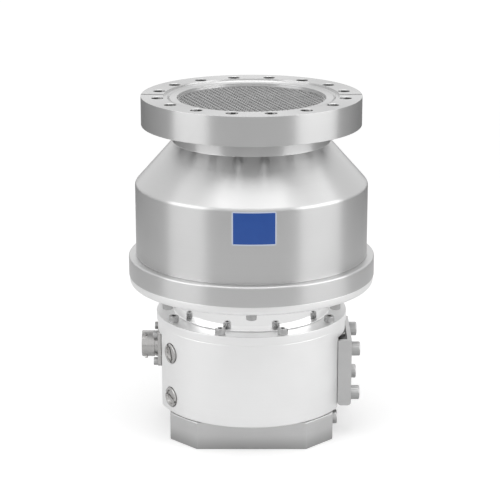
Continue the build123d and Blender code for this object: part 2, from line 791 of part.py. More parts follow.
with BuildPart() as windings:
    for end_bottom in (motor_bottom - winding_height, motor_top):
        ring(stator_bore + 2.0, column_inner - 4.0, end_bottom, end_bottom + winding_height)
write(windings, "motor_windings")

for name, bottom in (("lower_sensor", lower_sensor_bottom), ("upper_sensor", upper_sensor_bottom)):
    with BuildPart() as sensor:
        ring(stator_bore + 0.3, column_inner - seat_fit, bottom, bottom + sensor_height)
        with BuildSketch(Plane.XY.offset(bottom + sensor_height / 2)):
            with PolarLocations(column_inner * 0.68, 4, start_angle=45):
                Circle(4.0)
        extrude(amount=sensor_height / 2, mode=Mode.SUBTRACT)
    write(sensor, name)

# ======================================================================================
# Touch-down bearings: they catch the shaft when the power fails, and stand still otherwise
# ======================================================================================
race_bore = journal_radius + touch_gap
pitch_radius = (race_bore + race_outer_radius) / 2
groove_radius = ball_radius + ball_fit
for side, bottom in (("upper", upper_race_bottom), ("lower", lower_race_bottom)):
    with BuildPart() as inner_race:
        ring(race_bore, pitch_radius - 0.8, bottom, bottom + race_width)
        with BuildSketch(Plane.XZ):
            with Locations((pitch_radius, bottom + race_width / 2)):
                Circle(groove_radius)
        revolve(axis=Axis.Z, mode=Mode.SUBTRACT)
    write(inner_race, f"{side}_inner_race")
    with BuildPart() as outer_race:
        ring(pitch_radius + 0.8, race_outer_radius - seat_fit, bottom, bottom + race_width)
        with BuildSketch(Plane.XZ):
            with Locations((pitch_radius, bottom + race_width / 2)):
                Circle(groove_radius)
        revolve(axis=Axis.Z, mode=Mode.SUBTRACT)
    write(outer_race, f"{side}_outer_race")
    with BuildPart() as balls:
        with Locations((0, 0, bottom + race_width / 2)):
            with PolarLocations(pitch_radius, ball_count):
                Sphere(ball_radius)
    write(balls, f"{side}_bearing_balls")

# ======================================================================================
# Axial bearing: two ring magnets above and below a thrust disc on the shaft's tail
# ======================================================================================
thrust_top = thrust_bottom + thrust_height
lower_axial_top = thrust_bottom - thrust_gap
upper_axial_bottom = thrust_top + thrust_gap
coil_radius = (tail_radius + thrust_radius) / 2 + 2.0


def axial_magnet(name, outer, inner, bottom, magnet_top, coil_side):
    """A pot-shaped ring magnet with an open channel for its coil."""
    with BuildPart() as pot:
        ring(inner, outer, bottom, magnet_top)
        with BuildSketch(Plane.XY.offset(coil_side)):
            Circle(coil_radius + 2.5)
            Circle(coil_radius - 2.5, mode=Mode.SUBTRACT)
        inward = 1 if coil_side == bottom else -1
        extrude(amount=inward * (magnet_top - bottom) * 0.6, mode=Mode.SUBTRACT)
    write(pot, name)


well_radius = thrust_radius + thrust_clearance - seat_fit
axial_magnet("lower_axial_magnet", well_radius, tail_radius + 6.0, housing_bottom,
             lower_axial_top, lower_axial_top)
axial_magnet("upper_axial_magnet", column_inner - seat_fit, journal_radius + 1.5, upper_axial_bottom,
             lower_race_bottom - web_thickness, upper_axial_bottom)

# ======================================================================================
# Shaft with its sleeves, thrust disc, nut and screws, all turning with the rotor
# ======================================================================================
shaft_bottom = housing_bottom + 3.0
with BuildPart() as shaft:
    turned([
        (0, shaft_bottom),
        (tail_radius - 1.0, shaft_bottom),
        (tail_radius, shaft_bottom + 1.0),
        (tail_radius, thrust_top),
        (journal_radius, thrust_top),
        (journal_radius, sleeves_bottom),
        (shaft_radius, sleeves_bottom),
        (shaft_radius, sleeves_top),
        (journal_radius, sleeves_top),
        (journal_radius, shaft_flange_bottom),
        (shaft_flange_radius, shaft_flange_bottom),
        (shaft_flange_radius, crown_bottom),
        (shaft_nose_radius, crown_bottom),
        (shaft_nose_radius, crown_bottom + shaft_nose_height),
        (0, crown_bottom + shaft_nose_height),
    ])
    with BuildSketch(Plane.XY.offset(crown_bottom)):
        with PolarLocations(rotor_screw_circle, rotor_screw_count):
            Circle(m5_shank + thread_fit)
    extrude(amount=-shaft_flange_height, mode=Mode.SUBTRACT)
write(shaft, "rotor_shaft")

with BuildPart() as rotor_screws:
    shank_length = crown_height - crown_recess + shaft_flange_height - 0.5
    screw = cap_screw(m5_head, m5_head_height, m5_shank, shank_length, m5_socket)
    with Locations((0, 0, crown_top - crown_recess)):
        with PolarLocations(rotor_screw_circle, rotor_screw_count):
            add(screw)
write(rotor_screws, "rotor_screws")

lower_split = motor_bottom - winding_height - motor_gap / 2
upper_split = motor_top + winding_height + motor_gap / 2
sleeves = (
    ("lower_magnet_sleeve", sleeves_bottom, lower_split),
    ("motor_magnet", lower_split, upper_split),
    ("upper_magnet_sleeve", upper_split, sleeves_top),
)
for name, bottom, sleeve_end in sleeves:
    with BuildPart() as sleeve:
        ring(shaft_radius + seat_fit, sleeve_radius, bottom, sleeve_end)
    write(sleeve, name)

with BuildPart() as thrust_disc:
    ring(tail_radius + seat_fit, thrust_radius, thrust_bottom, thrust_top)
write(thrust_disc, "thrust_disc")

with BuildPart() as shaft_nut:
    with BuildSketch(Plane.XY.offset(thrust_bottom - nut_height)):
        RegularPolygon(tail_radius + 4.0, 6, major_radius=False)
        Circle(tail_radius + seat_fit, mode=Mode.SUBTRACT)
        Circle(tail_radius + 5.4, mode=Mode.INTERSECT)
    extrude(amount=nut_height)
write(shaft_nut, "shaft_nut")

# ======================================================================================
# Control connector on the left flat
# ======================================================================================
gasket_face = left_face
plate_face = left_face.offset(gasket_sheet)
barrel_face = left_face.offset(gasket_sheet + connector_plate_height)
tip_face = left_face.offset(connector_reach)
socket_radius = connector_radius - connector_wall
insert_depth = 5.0  # face of the insert below the barrel's rim

with BuildPart() as connector_gasket:
    with BuildSketch(gasket_face):
        RectangleRounded(connector_plate, connector_plate, 2.0)
        Circle(connector_hole, mode=Mode.SUBTRACT)
        with GridLocations(connector_screw_spacing, connector_screw_spacing, 2, 2):
            Circle(m3_shank + hole_clearance, mode=Mode.SUBTRACT)
    extrude(amount=gasket_sheet)
write(connector_gasket, "connector_gasket")

with BuildPart() as shell:
    with BuildSketch(plate_face):
        RectangleRounded(connector_plate, connector_plate, 2.0)
        with GridLocations(connector_screw_spacing, connector_screw_spacing, 2, 2):
            Circle(m3_shank + hole_clearance, mode=Mode.SUBTRACT)
    extrude(amount=connector_plate_height)
    with BuildSketch(barrel_face):
        Circle(connector_radius)
    extrude(amount=connector_reach - gasket_sheet - connector_plate_height)
    with BuildSketch(barrel_face.offset(1.4)):
        Circle(connector_radius)
        Circle(connector_radius - 0.7, mode=Mode.SUBTRACT)
    extrude(amount=1.2, mode=Mode.SUBTRACT)
    with BuildSketch(plate_face):
        Circle(connector_hole - 0.2)
    extrude(amount=-gasket_sheet - 6.0)
    with BuildSketch(tip_face):
        Circle(socket_radius)
    extrude(amount=-insert_depth - 6.0, mode=Mode.SUBTRACT)
    # Keyway in the barrel's bore and three bayonet lugs around it.
    with BuildSketch(tip_face):
        with Locations((0, socket_radius)):
            Rectangle(2.4, 1.6)
    extrude(amount=-insert_depth, mode=Mode.SUBTRACT)
    for lug_angle in (-60, 60, 180):
        lug_y = (connector_radius - 0.4) * sin(radians(lug_angle))
        lug_z = connector_height + (connector_radius - 0.4) * cos(radians(lug_angle))
        lug_out = (0, sin(radians(lug_angle)), cos(radians(lug_angle)))
        lug_plane = Plane((-left_flat - connector_reach + 3.0, lug_y, lug_z), x_dir=(1, 0, 0), z_dir=lug_out)
        with BuildSketch(lug_plane):
            Circle(1.1)
        extrude(amount=1.3)
write(shell, "connector_shell")

with BuildPart() as insert:
    with BuildSketch(tip_face.offset(-insert_depth - 6.0)):
        Circle(socket_radius - seat_fit)
    extrude(amount=6.0)
    with BuildSketch(tip_face.offset(-insert_depth)):
        with PolarLocations(5.0, 7):
            Circle(0.6)
        with PolarLocations(2.0, 3):
            Circle(0.6)
    extrude(amount=-4.0, mode=Mode.SUBTRACT)
write(insert, "connector_insert")

with BuildPart() as pins:
    with BuildSketch(tip_face.offset(-insert_depth - 4.0)):
        with PolarLocations(5.0, 7):
            Circle(0.55)
        with PolarLocations(2.0, 3):
            Circle(0.55)
    extrude(amount=7.5)
write(pins, "connector_pins")

with BuildPart() as connector_screws:
    shank_length = connector_plate_height + gasket_sheet + connector_screw_depth
    screw = cap_screw(m3_head, m3_head_height, m3_shank, shank_length, m3_socket)
    half = connector_screw_spacing / 2
    for y in (-half, half):
        for z in (-half, half):
            spot = (-left_flat - gasket_sheet - connector_plate_height, y, connector_height + z)
            add(screw.moved(Location(Plane(spot, z_dir=(-1, 0, 0)))))
write(connector_screws, "connector_screws")

# ======================================================================================
# Cooling-port plugs with a screwdriver slot
# ======================================================================================
plug_head_radius = port_seat_radius - 0.5
with BuildPart() as plugs:
    for port_height, slot_angle in zip(port_heights, (20, 75)):
        with BuildSketch(port_plane(port_height, port_seat)):
            Circle(plug_head_radius)
        extrude(amount=2.6)
        with BuildSketch(port_plane(port_height, port_seat)):
            Circle(port_hole_radius - thread_fit)
        extrude(amount=1.0 - port_hole_depth)
        with BuildSketch(port_plane(port_height, port_seat + 2.6)):
            Circle(plug_head_radius - 1.6)
        extrude(amount=-1.4, mode=Mode.SUBTRACT)
        with BuildSketch(port_plane(port_height, port_seat + 2.6)):
            Rectangle(3 * plug_head_radius, 1.6, rotation=slot_angle)
        extrude(amount=-2.0, mode=Mode.SUBTRACT)
write(plugs, "cooling_plugs")

# ======================================================================================
# Side cover on the right flat: a metal tray over a black insert, open at the top
# ======================================================================================
cover_bottom = cover_centre - cover_height / 2
with BuildPart() as cover:
    with BuildSketch(right_face):
        Rectangle(cover_width, cover_height)
    extrude(amount=cover_depth)
    lower_edges = cover.edges().filter_by(Axis.Y).group_by(Axis.Z)[0]
    fillet(lower_edges, 2.5)
    cavity_depth = cover_depth - cover_wall
    with BuildSketch(right_face):
        with Locations((0, cover_wall)):
            Rectangle(cover_width - 2 * cover_wall, cover_height)
    extrude(amount=cavity_depth, mode=Mode.SUBTRACT)
    with BuildSketch(right_face):
        with GridLocations(cover_screws_y, cover_screws_z, 2, 2):
            Circle(m6_shank + hole_clearance)
    extrude(amount=cover_depth, mode=Mode.SUBTRACT)
write(cover, "side_cover")

insert_gap = 0.1
with BuildPart() as cover_insert:
    insert_height = cover_height - cover_wall - 1.0 - insert_gap
    with BuildSketch(right_face):
        with Locations((0, (cover_wall - 1.0 + insert_gap) / 2)):
            Rectangle(cover_width - 2 * cover_wall - 2 * insert_gap, insert_height)
        with GridLocations(cover_screws_y, cover_screws_z, 2, 2):
            Circle(m6_shank + hole_clearance, mode=Mode.SUBTRACT)
    extrude(amount=cavity_depth - insert_gap)
    # Threaded hole for a small screw in the top.
    insert_top = cover_insert.faces().sort_by(Axis.Z)[-1].center().Z
    insert_middle = right_flat + (cavity_depth - insert_gap) / 2
    with BuildSketch(Plane.XY.offset(insert_top)):
        with Locations((insert_middle, -13.0)):
            Circle(m3_shank + thread_fit)
    extrude(amount=-5.0, mode=Mode.SUBTRACT)
write(cover_insert, "cover_insert")

with BuildPart() as insert_screw:
    screw = cap_screw(m3_head - 0.4, 2.0, m3_shank, 4.5, m3_socket - 0.5)
    add(screw.moved(Location((insert_middle, -13.0, insert_top))))
write(insert_screw, "insert_screw")

with BuildPart() as cover_screws:
    screw = cap_screw(m6_head, m6_head_height, m6_shank, cover_depth + cover_screw_depth, m6_socket)
    for y in (-cover_screws_y / 2, cover_screws_y / 2):
        for z in (-cover_screws_z / 2, cover_screws_z / 2):
            spot = (right_flat + cover_depth, y, cover_centre + z)
            add(screw.moved(Location(Plane(spot, z_dir=(1, 0, 0)))))
write(cover_screws, "side_cover_screws")

# ======================================================================================
# Exhaust port at the rear: a short pipe with a clamp flange of nominal bore 25
# ======================================================================================
centring_radius = 13.1
centring_depth = 3.0
with BuildPart() as exhaust:
    with BuildSketch(rear_face):
        RectangleRounded(exhaust_plate, exhaust_plate, 4.0)
        with GridLocations(exhaust_screw_spacing, exhaust_screw_spacing, 2, 2):
            Circle(m5_shank + hole_clearance, mode=Mode.SUBTRACT)
    extrude(amount=exhaust_plate_height)
    with BuildSketch(rear_face):
        Circle(exhaust_radius + exhaust_wall)
    extrude(amount=exhaust_reach)
    # The flange's back slopes for the clamp.
    rim = 3.0
    slope = (exhaust_flange_radius - exhaust_radius - exhaust_wall) * tan(radians(15))
    with BuildSketch(Plane.YZ):
        with BuildLine():
            Polyline(
                (rear_flat + exhaust_reach - rim - slope, exhaust_centre + exhaust_radius + exhaust_wall - 0.5),
                (rear_flat + exhaust_reach - rim, exhaust_centre + exhaust_flange_radius),
                (rear_flat + exhaust_reach, exhaust_centre + exhaust_flange_radius),
                (rear_flat + exhaust_reach, exhaust_centre + exhaust_radius + exhaust_wall - 0.5),
                close=True,
            )
        make_face()
    revolve(axis=Axis((0, 0, exhaust_centre), (0, 1, 0)))
    with BuildSketch(rear_face):
        Circle(exhaust_radius)
    extrude(amount=exhaust_reach, mode=Mode.SUBTRACT)
    with BuildSketch(rear_face.offset(exhaust_reach)):
        Circle(centring_radius)
    extrude(amount=-centring_depth, mode=Mode.SUBTRACT)
write(exhaust, "exhaust_port")

with BuildPart() as exhaust_screws:
    shank_length = exhaust_plate_height + exhaust_screw_depth
    screw = cap_screw(m5_head, m5_head_height, m5_shank, shank_length, m5_socket)
    half = exhaust_screw_spacing / 2
    for x in (-half, half):
        for z in (-half, half):
            spot = (x, rear_flat + exhaust_plate_height, exhaust_centre + z)
            add(screw.moved(Location(Plane(spot, z_dir=(0, 1, 0)))))
write(exhaust_screws, "exhaust_screws")
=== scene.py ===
from math import atan2, cos, pi, radians, sin, tan

import bpy
from mathutils import Matrix, Vector


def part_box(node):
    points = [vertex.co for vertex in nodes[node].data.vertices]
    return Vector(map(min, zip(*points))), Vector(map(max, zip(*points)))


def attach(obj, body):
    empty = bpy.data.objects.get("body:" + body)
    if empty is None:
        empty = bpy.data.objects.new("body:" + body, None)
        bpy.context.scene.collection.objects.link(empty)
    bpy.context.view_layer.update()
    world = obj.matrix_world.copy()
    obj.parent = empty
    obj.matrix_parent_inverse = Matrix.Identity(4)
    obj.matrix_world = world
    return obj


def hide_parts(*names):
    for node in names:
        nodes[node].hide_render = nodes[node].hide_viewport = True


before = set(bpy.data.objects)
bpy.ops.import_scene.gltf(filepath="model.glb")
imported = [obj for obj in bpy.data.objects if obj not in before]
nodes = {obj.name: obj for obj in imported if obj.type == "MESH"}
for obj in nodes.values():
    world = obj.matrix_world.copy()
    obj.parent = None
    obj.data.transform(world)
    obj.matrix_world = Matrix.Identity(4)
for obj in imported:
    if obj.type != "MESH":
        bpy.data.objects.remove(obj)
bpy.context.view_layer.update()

# ---------------------------------------------------------------------------------------------
# Inlet casing. One piece of stainless steel, turned all over: the inlet flange with its sixteen
# bolt holes, a collar, a cone that widens to the barrel, and a band that is bolted to the base.
# ---------------------------------------------------------------------------------------------
casing_low, casing_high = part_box("inlet_casing")
top = casing_high.z
casing_foot = casing_low.z
band_radius = casing_high.x
flange_radius = 0.076
flange_bottom = top - 0.020
collar_radius = 0.0545
cone_top = flange_bottom - 0.0114
barrel_radius = 0.0808
barrel_top = cone_top - 0.0296
band_top = casing_foot + 0.0141
bore_radius = 0.0512
face_level = top - 0.0014  # inner face, inside the gasket's recess


class Wire:
    """An output of a shader node. Arithmetic on it adds Math nodes to its material."""

    def __init__(self, socket):
        self.socket = socket

    def maths(self, operation, *terms):
        tree = self.socket.id_data
        node = tree.nodes.new("ShaderNodeMath")
        node.operation = operation
        for slot, term in zip(node.inputs, terms):
            if isinstance(term, Wire):
                tree.links.new(term.socket, slot)
            else:
                slot.default_value = term
        return Wire(node.outputs[0])

    def __add__(self, other):
        return self.maths("ADD", self, other)

    def __sub__(self, other):
        return self.maths("SUBTRACT", self, other)

    def __mul__(self, other):
        return self.maths("MULTIPLY", self, other)

    def __pow__(self, other):
        return self.maths("POWER", self, other)

    def over(self, limit):
        return self.maths("GREATER_THAN", self, limit)

    def under(self, limit):
        return self.maths("LESS_THAN", self, limit)

    def larger(self, other):
        return self.maths("MAXIMUM", self, other)

    __radd__ = __add__


class Finish:
    """A material with one Principled shader, and a method that adds any other node to it."""

    def __init__(self, name, **constants):
        self.material = bpy.data.materials.new(name)
        self.material.use_nodes = True
        self.tree = self.material.node_tree
        self.shader = self.tree.nodes["Principled BSDF"]
        for socket, value in constants.items():
            self.shader.inputs[socket.replace("_", " ")].default_value = value

    def node(self, kind, output, settings=(), inputs=()):
        made = self.tree.nodes.new(kind)
        for name, value in dict(settings).items():
            setattr(made, name, value)
        for name, value in dict(inputs).items():
            if isinstance(value, Wire):
                self.tree.links.new(value.socket, made.inputs[name])
            else:
                made.inputs[name].default_value = value
        return Wire(made.outputs[output])

    def feed(self, name, wire):
        self.tree.links.new(wire.socket, self.shader.inputs[name])

    def place(self):
        """The point on the piece, as its x, y and z in metres."""
        spot = self.node("ShaderNodeTexCoord", "Object")
        apart = self.tree.nodes.new("ShaderNodeSeparateXYZ")
        self.tree.links.new(spot.socket, apart.inputs[0])
        return spot, *(Wire(apart.outputs[axis]) for axis in "XYZ")

    def noise(self, vector, scale, detail):
        return self.node("ShaderNodeTexNoise", "Fac", (),
                         {"Vector": vector, "Scale": scale, "Detail": detail})

    def blend(self, factor, first, second):
        """Mixes two colours, each four numbers or a wire."""
        mix = self.tree.nodes.new("ShaderNodeMix")
        mix.data_type = "RGBA"
        for slot, value in ((0, factor), (6, first), (7, second)):
            if isinstance(value, Wire):
                self.tree.links.new(value.socket, mix.inputs[slot])
            else:
                mix.inputs[slot].default_value = value
        return Wire(mix.outputs[2])

    def bump(self, height, distance):
        normal = self.node("ShaderNodeBump", "Normal", (),
                           {"Height": height, "Distance": distance, "Strength": 1.0})
        self.feed("Normal", normal)


def grey(level, warmth=0.0):
    return (level + warmth, level, level - warmth, 1.0)


def turned_finish(name, shade, roughness, line, groove, **constants):
    """Lathe-turned metal: fine rings that follow height on walls and radius on faces."""
    made = Finish(name, Metallic=1.0, **constants)
    spot, x, y, z = made.place()
    radius = (x * x + y * y) ** 0.5
    ring_place = made.node("ShaderNodeCombineXYZ", "Vector", (),
                           {"X": x * 2.0, "Y": y * 2.0, "Z": (z + radius * 0.87) * line})
    rings = made.noise(ring_place, 1.0, 3.0)
    clouds = made.noise(spot, 22.0, 3.0)
    made.feed("Base Color", made.blend(clouds * 0.5 + rings * 0.5, grey(shade * 0.95), grey(shade * 1.05)))
    made.feed("Roughness", roughness + (rings - 0.5) * 0.08 + (clouds - 0.5) * 0.08)
    made.bump(rings, groove)
    return made.material


def only(piece):
    """Selects this piece alone."""
    bpy.ops.object.select_all(action="DESELECT")
    piece.select_set(True)
    bpy.context.view_layer.objects.active = piece


def settle(piece, name, *materials):
    """Names a finished piece, puts its place into its mesh and gives it its materials."""
    only(piece)
    bpy.ops.object.transform_apply(location=True, rotation=True, scale=True)
    piece.name = piece.data.name = name
    piece.data.materials.clear()
    for material in materials:
        piece.data.materials.append(material)


def use_modifier(piece, kind, **settings):
    """Adds a modifier and applies it."""
    only(piece)
    modifier = piece.modifiers.new(kind.title(), kind)
    for key, value in settings.items():
        setattr(modifier, key, value)
    bpy.ops.object.modifier_apply(modifier=modifier.name)


def turn(outline, sides=144):
    """Draws a ring of points up and down along a closed outline of (radius, height) pairs."""
    bpy.ops.object.select_all(action="DESELECT")
    (radius, height), *others = outline
    bpy.ops.mesh.primitive_circle_add(vertices=sides, radius=radius, location=(0, 0, height))
    piece = bpy.context.object
    bpy.ops.object.transform_apply(location=True)
    bpy.ops.object.mode_set(mode="EDIT")
    for next_radius, next_height in others + [outline[0]]:
        bpy.ops.mesh.extrude_edges_move()
        share = next_radius / radius
        bpy.ops.transform.resize(value=(share, share, 1), center_override=(0, 0, 0))
        bpy.ops.transform.translate(value=(0, 0, next_height - height))
        radius, height = next_radius, next_height
    bpy.ops.mesh.select_all(action="SELECT")
    bpy.ops.mesh.remove_doubles(threshold=1e-6)
    bpy.ops.mesh.normals_make_consistent(inside=False)
    bpy.ops.object.mode_set(mode="OBJECT")
    return piece


def smooth(piece, angle=30):
    """Smooths the shading of curves and small roundings, and keeps flat faces flat."""
    only(piece)
    bpy.ops.object.shade_smooth_by_angle(angle=radians(angle))
    use_modifier(piece, "WEIGHTED_NORMAL", keep_sharp=True, weight=90)


def joined(pieces):
    """Joins several objects into the first."""
    bpy.ops.object.select_all(action="DESELECT")
    for piece in pieces:
        piece.select_set(True)
    bpy.context.view_layer.objects.active = pieces[0]
    bpy.ops.object.join()
    return pieces[0]


def cut_away(piece, tools):
    """Cuts the shapes out of the piece and removes them."""
    tool = joined(tools) if len(tools) > 1 else tools[0]
    use_modifier(piece, "BOOLEAN", operation="DIFFERENCE", object=tool, solver="EXACT")
    bpy.data.objects.remove(tool)


def round_corner(before, corner, after, radius, steps=5):
    """Points of an arc that rounds the corner of an outline."""
    before, corner, after = Vector(before), Vector(corner), Vector(after)
    first = (before - corner).normalized()
    second = (after - corner).normalized()
    half = first.angle(second) / 2
    centre = corner + (first + second).normalized() * radius / sin(half)
    start = corner + first * radius / tan(half) - centre
    end = corner + second * radius / tan(half) - centre
    turn_by = start.angle_signed(end)
    return [tuple(centre + Matrix.Rotation(-turn_by * step / steps, 2) @ start) for step in range(steps + 1)]


wall = 0.004
inner_radius = barrel_radius - wall
throat_radius = bore_radius - 0.0014
screen_seat = face_level - 0.0034
inner_cone_foot = barrel_top - 0.0016
inner_cone_top = cone_top - 0.0024
gasket_radius = 0.0603
knife_radius = 0.0576
relief_depth = 0.0006
relief_height = 0.0007
barrel_rounding = 0.0040
band_rounding = 0.0014
outline = [
    (bore_radius, face_level - 0.0002),
    (knife_radius - 0.0012, face_level - 0.0002),
    (knife_radius - 0.0012, face_level - 0.0010),
    (knife_radius, face_level + 0.0007),
    (knife_radius + 0.0002, face_level),
    (gasket_radius, face_level),
    (gasket_radius, top),
    (flange_radius, top),
    (flange_radius, flange_bottom),
    (collar_radius, flange_bottom),
    (collar_radius, cone_top),
    *round_corner((collar_radius, cone_top), (barrel_radius, barrel_top), (barrel_radius, band_top),
                  barrel_rounding),
    (barrel_radius, band_top + relief_height),
    (barrel_radius - relief_depth, band_top + relief_height),
    (barrel_radius - relief_depth, band_top),
    *round_corner((barrel_radius, band_top), (band_radius, band_top), (band_radius, casing_foot),
                  band_rounding),
    (band_radius, casing_foot),
    (inner_radius, casing_foot),
    (inner_radius, inner_cone_foot),
    (throat_radius, inner_cone_top),
    (throat_radius, screen_seat),
    (bore_radius, screen_seat),
]
casing = turn(outline)
use_modifier(casing, "BEVEL", width=0.0003, segments=2, limit_method="ANGLE", angle_limit=radians(35))

bolt_count = 16
bolt_circle = 0.06515
bolt_radius = 0.0042
hole_tools = []
sink_tools = []
for number in range(bolt_count):
    angle = 2 * pi * (number + 0.5) / bolt_count
    spot = (bolt_circle * sin(angle), -bolt_circle * cos(angle), (top + flange_bottom) / 2)
    bpy.ops.mesh.primitive_cylinder_add(vertices=32, radius=bolt_radius, depth=0.024, location=spot)
    hole_tools.append(bpy.context.object)
    # A small countersink breaks the hole's upper edge.
    bpy.ops.mesh.primitive_cone_add(vertices=32, radius1=bolt_radius - 0.0002, radius2=bolt_radius + 0.0006,
                                    depth=0.0008, location=(spot[0], spot[1], top - 0.0001),
                                    rotation=(0, 0, 0.05))
    sink_tools.append(bpy.context.object)
for side in (-1, 1):
    # Leak-check grooves lead from the gasket's recess to the rim.
    place = (side * (flange_radius + gasket_radius) / 2, 0, top)
    bpy.ops.mesh.primitive_cube_add(size=1, location=place, scale=(0.0185, 0.003, 0.002))
    hole_tools.append(bpy.context.object)
for tools in (hole_tools, sink_tools):
    for tool in tools:
        only(tool)
        bpy.ops.object.transform_apply(location=True, rotation=True, scale=True)
    cut_away(casing, tools)
turned_steel = turned_finish("turned_steel", 0.57, 0.34, 2000.0, 0.000022, Anisotropic=0.85,
                             Anisotropic_Rotation=0.25)
# The bolt holes are left as drilled and dull, and their walls are painted dark: a painted shade for the
# shadow inside the holes.
hole_shade = Finish("drilled_steel_painted_shade", Metallic=1.0)
spot, *_ = hole_shade.place()
clouds = hole_shade.noise(spot, 300.0, 3.0)
hole_shade.feed("Base Color", hole_shade.blend(clouds, grey(0.12), grey(0.20)))
hole_shade.feed("Roughness", 0.5 + (clouds - 0.5) * 0.2)
settle(casing, "turned_casing", turned_steel, hole_shade.material)
# Faces inside the bolt holes take the material with the painted shade.
for face in casing.data.polygons:
    middle = face.center
    turned = (atan2(middle.x, -middle.y) / (2 * pi) * bolt_count) % 1 - 0.5
    across = Vector((turned * 2 * pi / bolt_count * bolt_circle, middle.xy.length - bolt_circle))
    if across.length < bolt_radius and flange_bottom < middle.z < top - 0.0005:
        face.material_index = 1
smooth(casing)
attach(casing, "root")
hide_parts("inlet_casing")

# ---------------------------------------------------------------------------------------------
# Inlet screen. Stainless wire, woven over and under, is welded into a thin flat rim that rests on
# the ledge in the inlet and keeps loose parts out of the blades.
# ---------------------------------------------------------------------------------------------


def pick_edges(piece, test):
    """Goes into edit mode with the edges selected whose two ends pass the test."""
    only(piece)
    bpy.ops.object.mode_set(mode="EDIT")
    bpy.ops.mesh.select_mode(type="EDGE")
    bpy.ops.mesh.select_all(action="DESELECT")
    bpy.ops.object.mode_set(mode="OBJECT")
    for edge in piece.data.edges:
        edge.select = test(*(piece.data.vertices[index].co for index in edge.vertices))
    bpy.ops.object.mode_set(mode="EDIT")


wire_pitch = 0.0026
wire_radius = 0.00033
wire_turn = radians(-24)
mesh_radius = bore_radius - 0.0010
mesh_level = screen_seat + 0.0003
wires_each_way = 2 * int(mesh_radius / wire_pitch) + 1
half_length = (wires_each_way + 1) * wire_pitch / 2
bpy.ops.object.select_all(action="DESELECT")
bpy.ops.mesh.primitive_cylinder_add(vertices=5, radius=wire_radius, depth=2 * half_length,
                                    end_fill_type="NOTHING", rotation=(0, pi / 2, 0))
one_wire = bpy.context.object
bpy.ops.object.transform_apply(rotation=True)
pick_edges(one_wire, lambda first, second: abs(first.x - second.x) > half_length)
bpy.ops.mesh.subdivide(number_cuts=2 * wires_each_way + 1)
bpy.ops.object.mode_set(mode="OBJECT")
lines = []
for number in range(wires_each_way):
    for across in (0, 1):
        wire = one_wire.copy()
        wire.data = one_wire.data.copy()
        bpy.context.scene.collection.objects.link(wire)
        offset = (number - wires_each_way // 2) * wire_pitch
        for vertex in wire.data.vertices:
            phase = pi * (vertex.co.x / wire_pitch + number + across)
            vertex.co.z += wire_radius * cos(phase) + mesh_level
            vertex.co.y += offset
        wire.rotation_euler.z = wire_turn + across * pi / 2
        lines.append(wire)
bpy.data.objects.remove(one_wire)
screen = joined(lines)
bpy.ops.object.transform_apply(location=True, rotation=True)
bpy.ops.object.mode_set(mode="EDIT")
bpy.ops.mesh.select_mode(type="VERT")
bpy.ops.mesh.select_all(action="DESELECT")
bpy.ops.object.mode_set(mode="OBJECT")
for vertex in screen.data.vertices:
    vertex.select = vertex.co.xy.length > mesh_radius
bpy.ops.object.mode_set(mode="EDIT")
bpy.ops.mesh.delete(type="VERT")
bpy.ops.mesh.select_all(action="SELECT")
bpy.ops.mesh.fill_holes(sides=8)
bpy.ops.object.mode_set(mode="OBJECT")
rim_inner = bore_radius - 0.0020
rim_outer = bore_radius - 0.0001
rim_top = screen_seat + 0.0006
rim = turn([(rim_inner, screen_seat), (rim_outer, screen_seat), (rim_outer, rim_top), (rim_inner, rim_top)])
screen = joined([screen, rim])


def plain_metal(name, shade, roughness, scale, relief, warmth=0.0, **constants):
    """Drawn, plated or milled metal: slow clouds of shade and gloss over a fine grain."""
    made = Finish(name, Metallic=1.0, **constants)
    spot, *_ = made.place()
    clouds = made.noise(spot, scale, 3.0)
    grain = made.noise(spot, scale * 26.0, 2.0)
    made.feed("Base Color", made.blend(clouds * 0.6 + grain * 0.4, grey(shade * 0.86, warmth),
                                       grey(shade * 1.10, warmth)))
    made.feed("Roughness", roughness + (clouds - 0.5) * 0.12 + (grain - 0.5) * 0.08)
    made.bump(grain, relief)
    return made.material


screen_steel = plain_metal("screen_steel", 0.50, 0.34, 60.0, 0.00001)
settle(screen, "woven_screen", screen_steel)
smooth(screen, 60)
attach(screen, "root")
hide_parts("inlet_screen")

# A sprung ring, ground flat, holds the screen down on its ledge.
ring_inner = bore_radius - 0.0012
ring_top = rim_top + 0.0008
screen_ring = turn([(ring_inner, rim_top), (rim_outer, rim_top),
                    (rim_outer, ring_top), (ring_inner, ring_top)])
use_modifier(screen_ring, "BEVEL", width=0.00015, segments=2, limit_method="ANGLE", angle_limit=radians(35))
settle(screen_ring, "screen_clip_ring", screen_steel)
smooth(screen_ring)
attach(screen_ring, "root")
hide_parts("screen_ring")

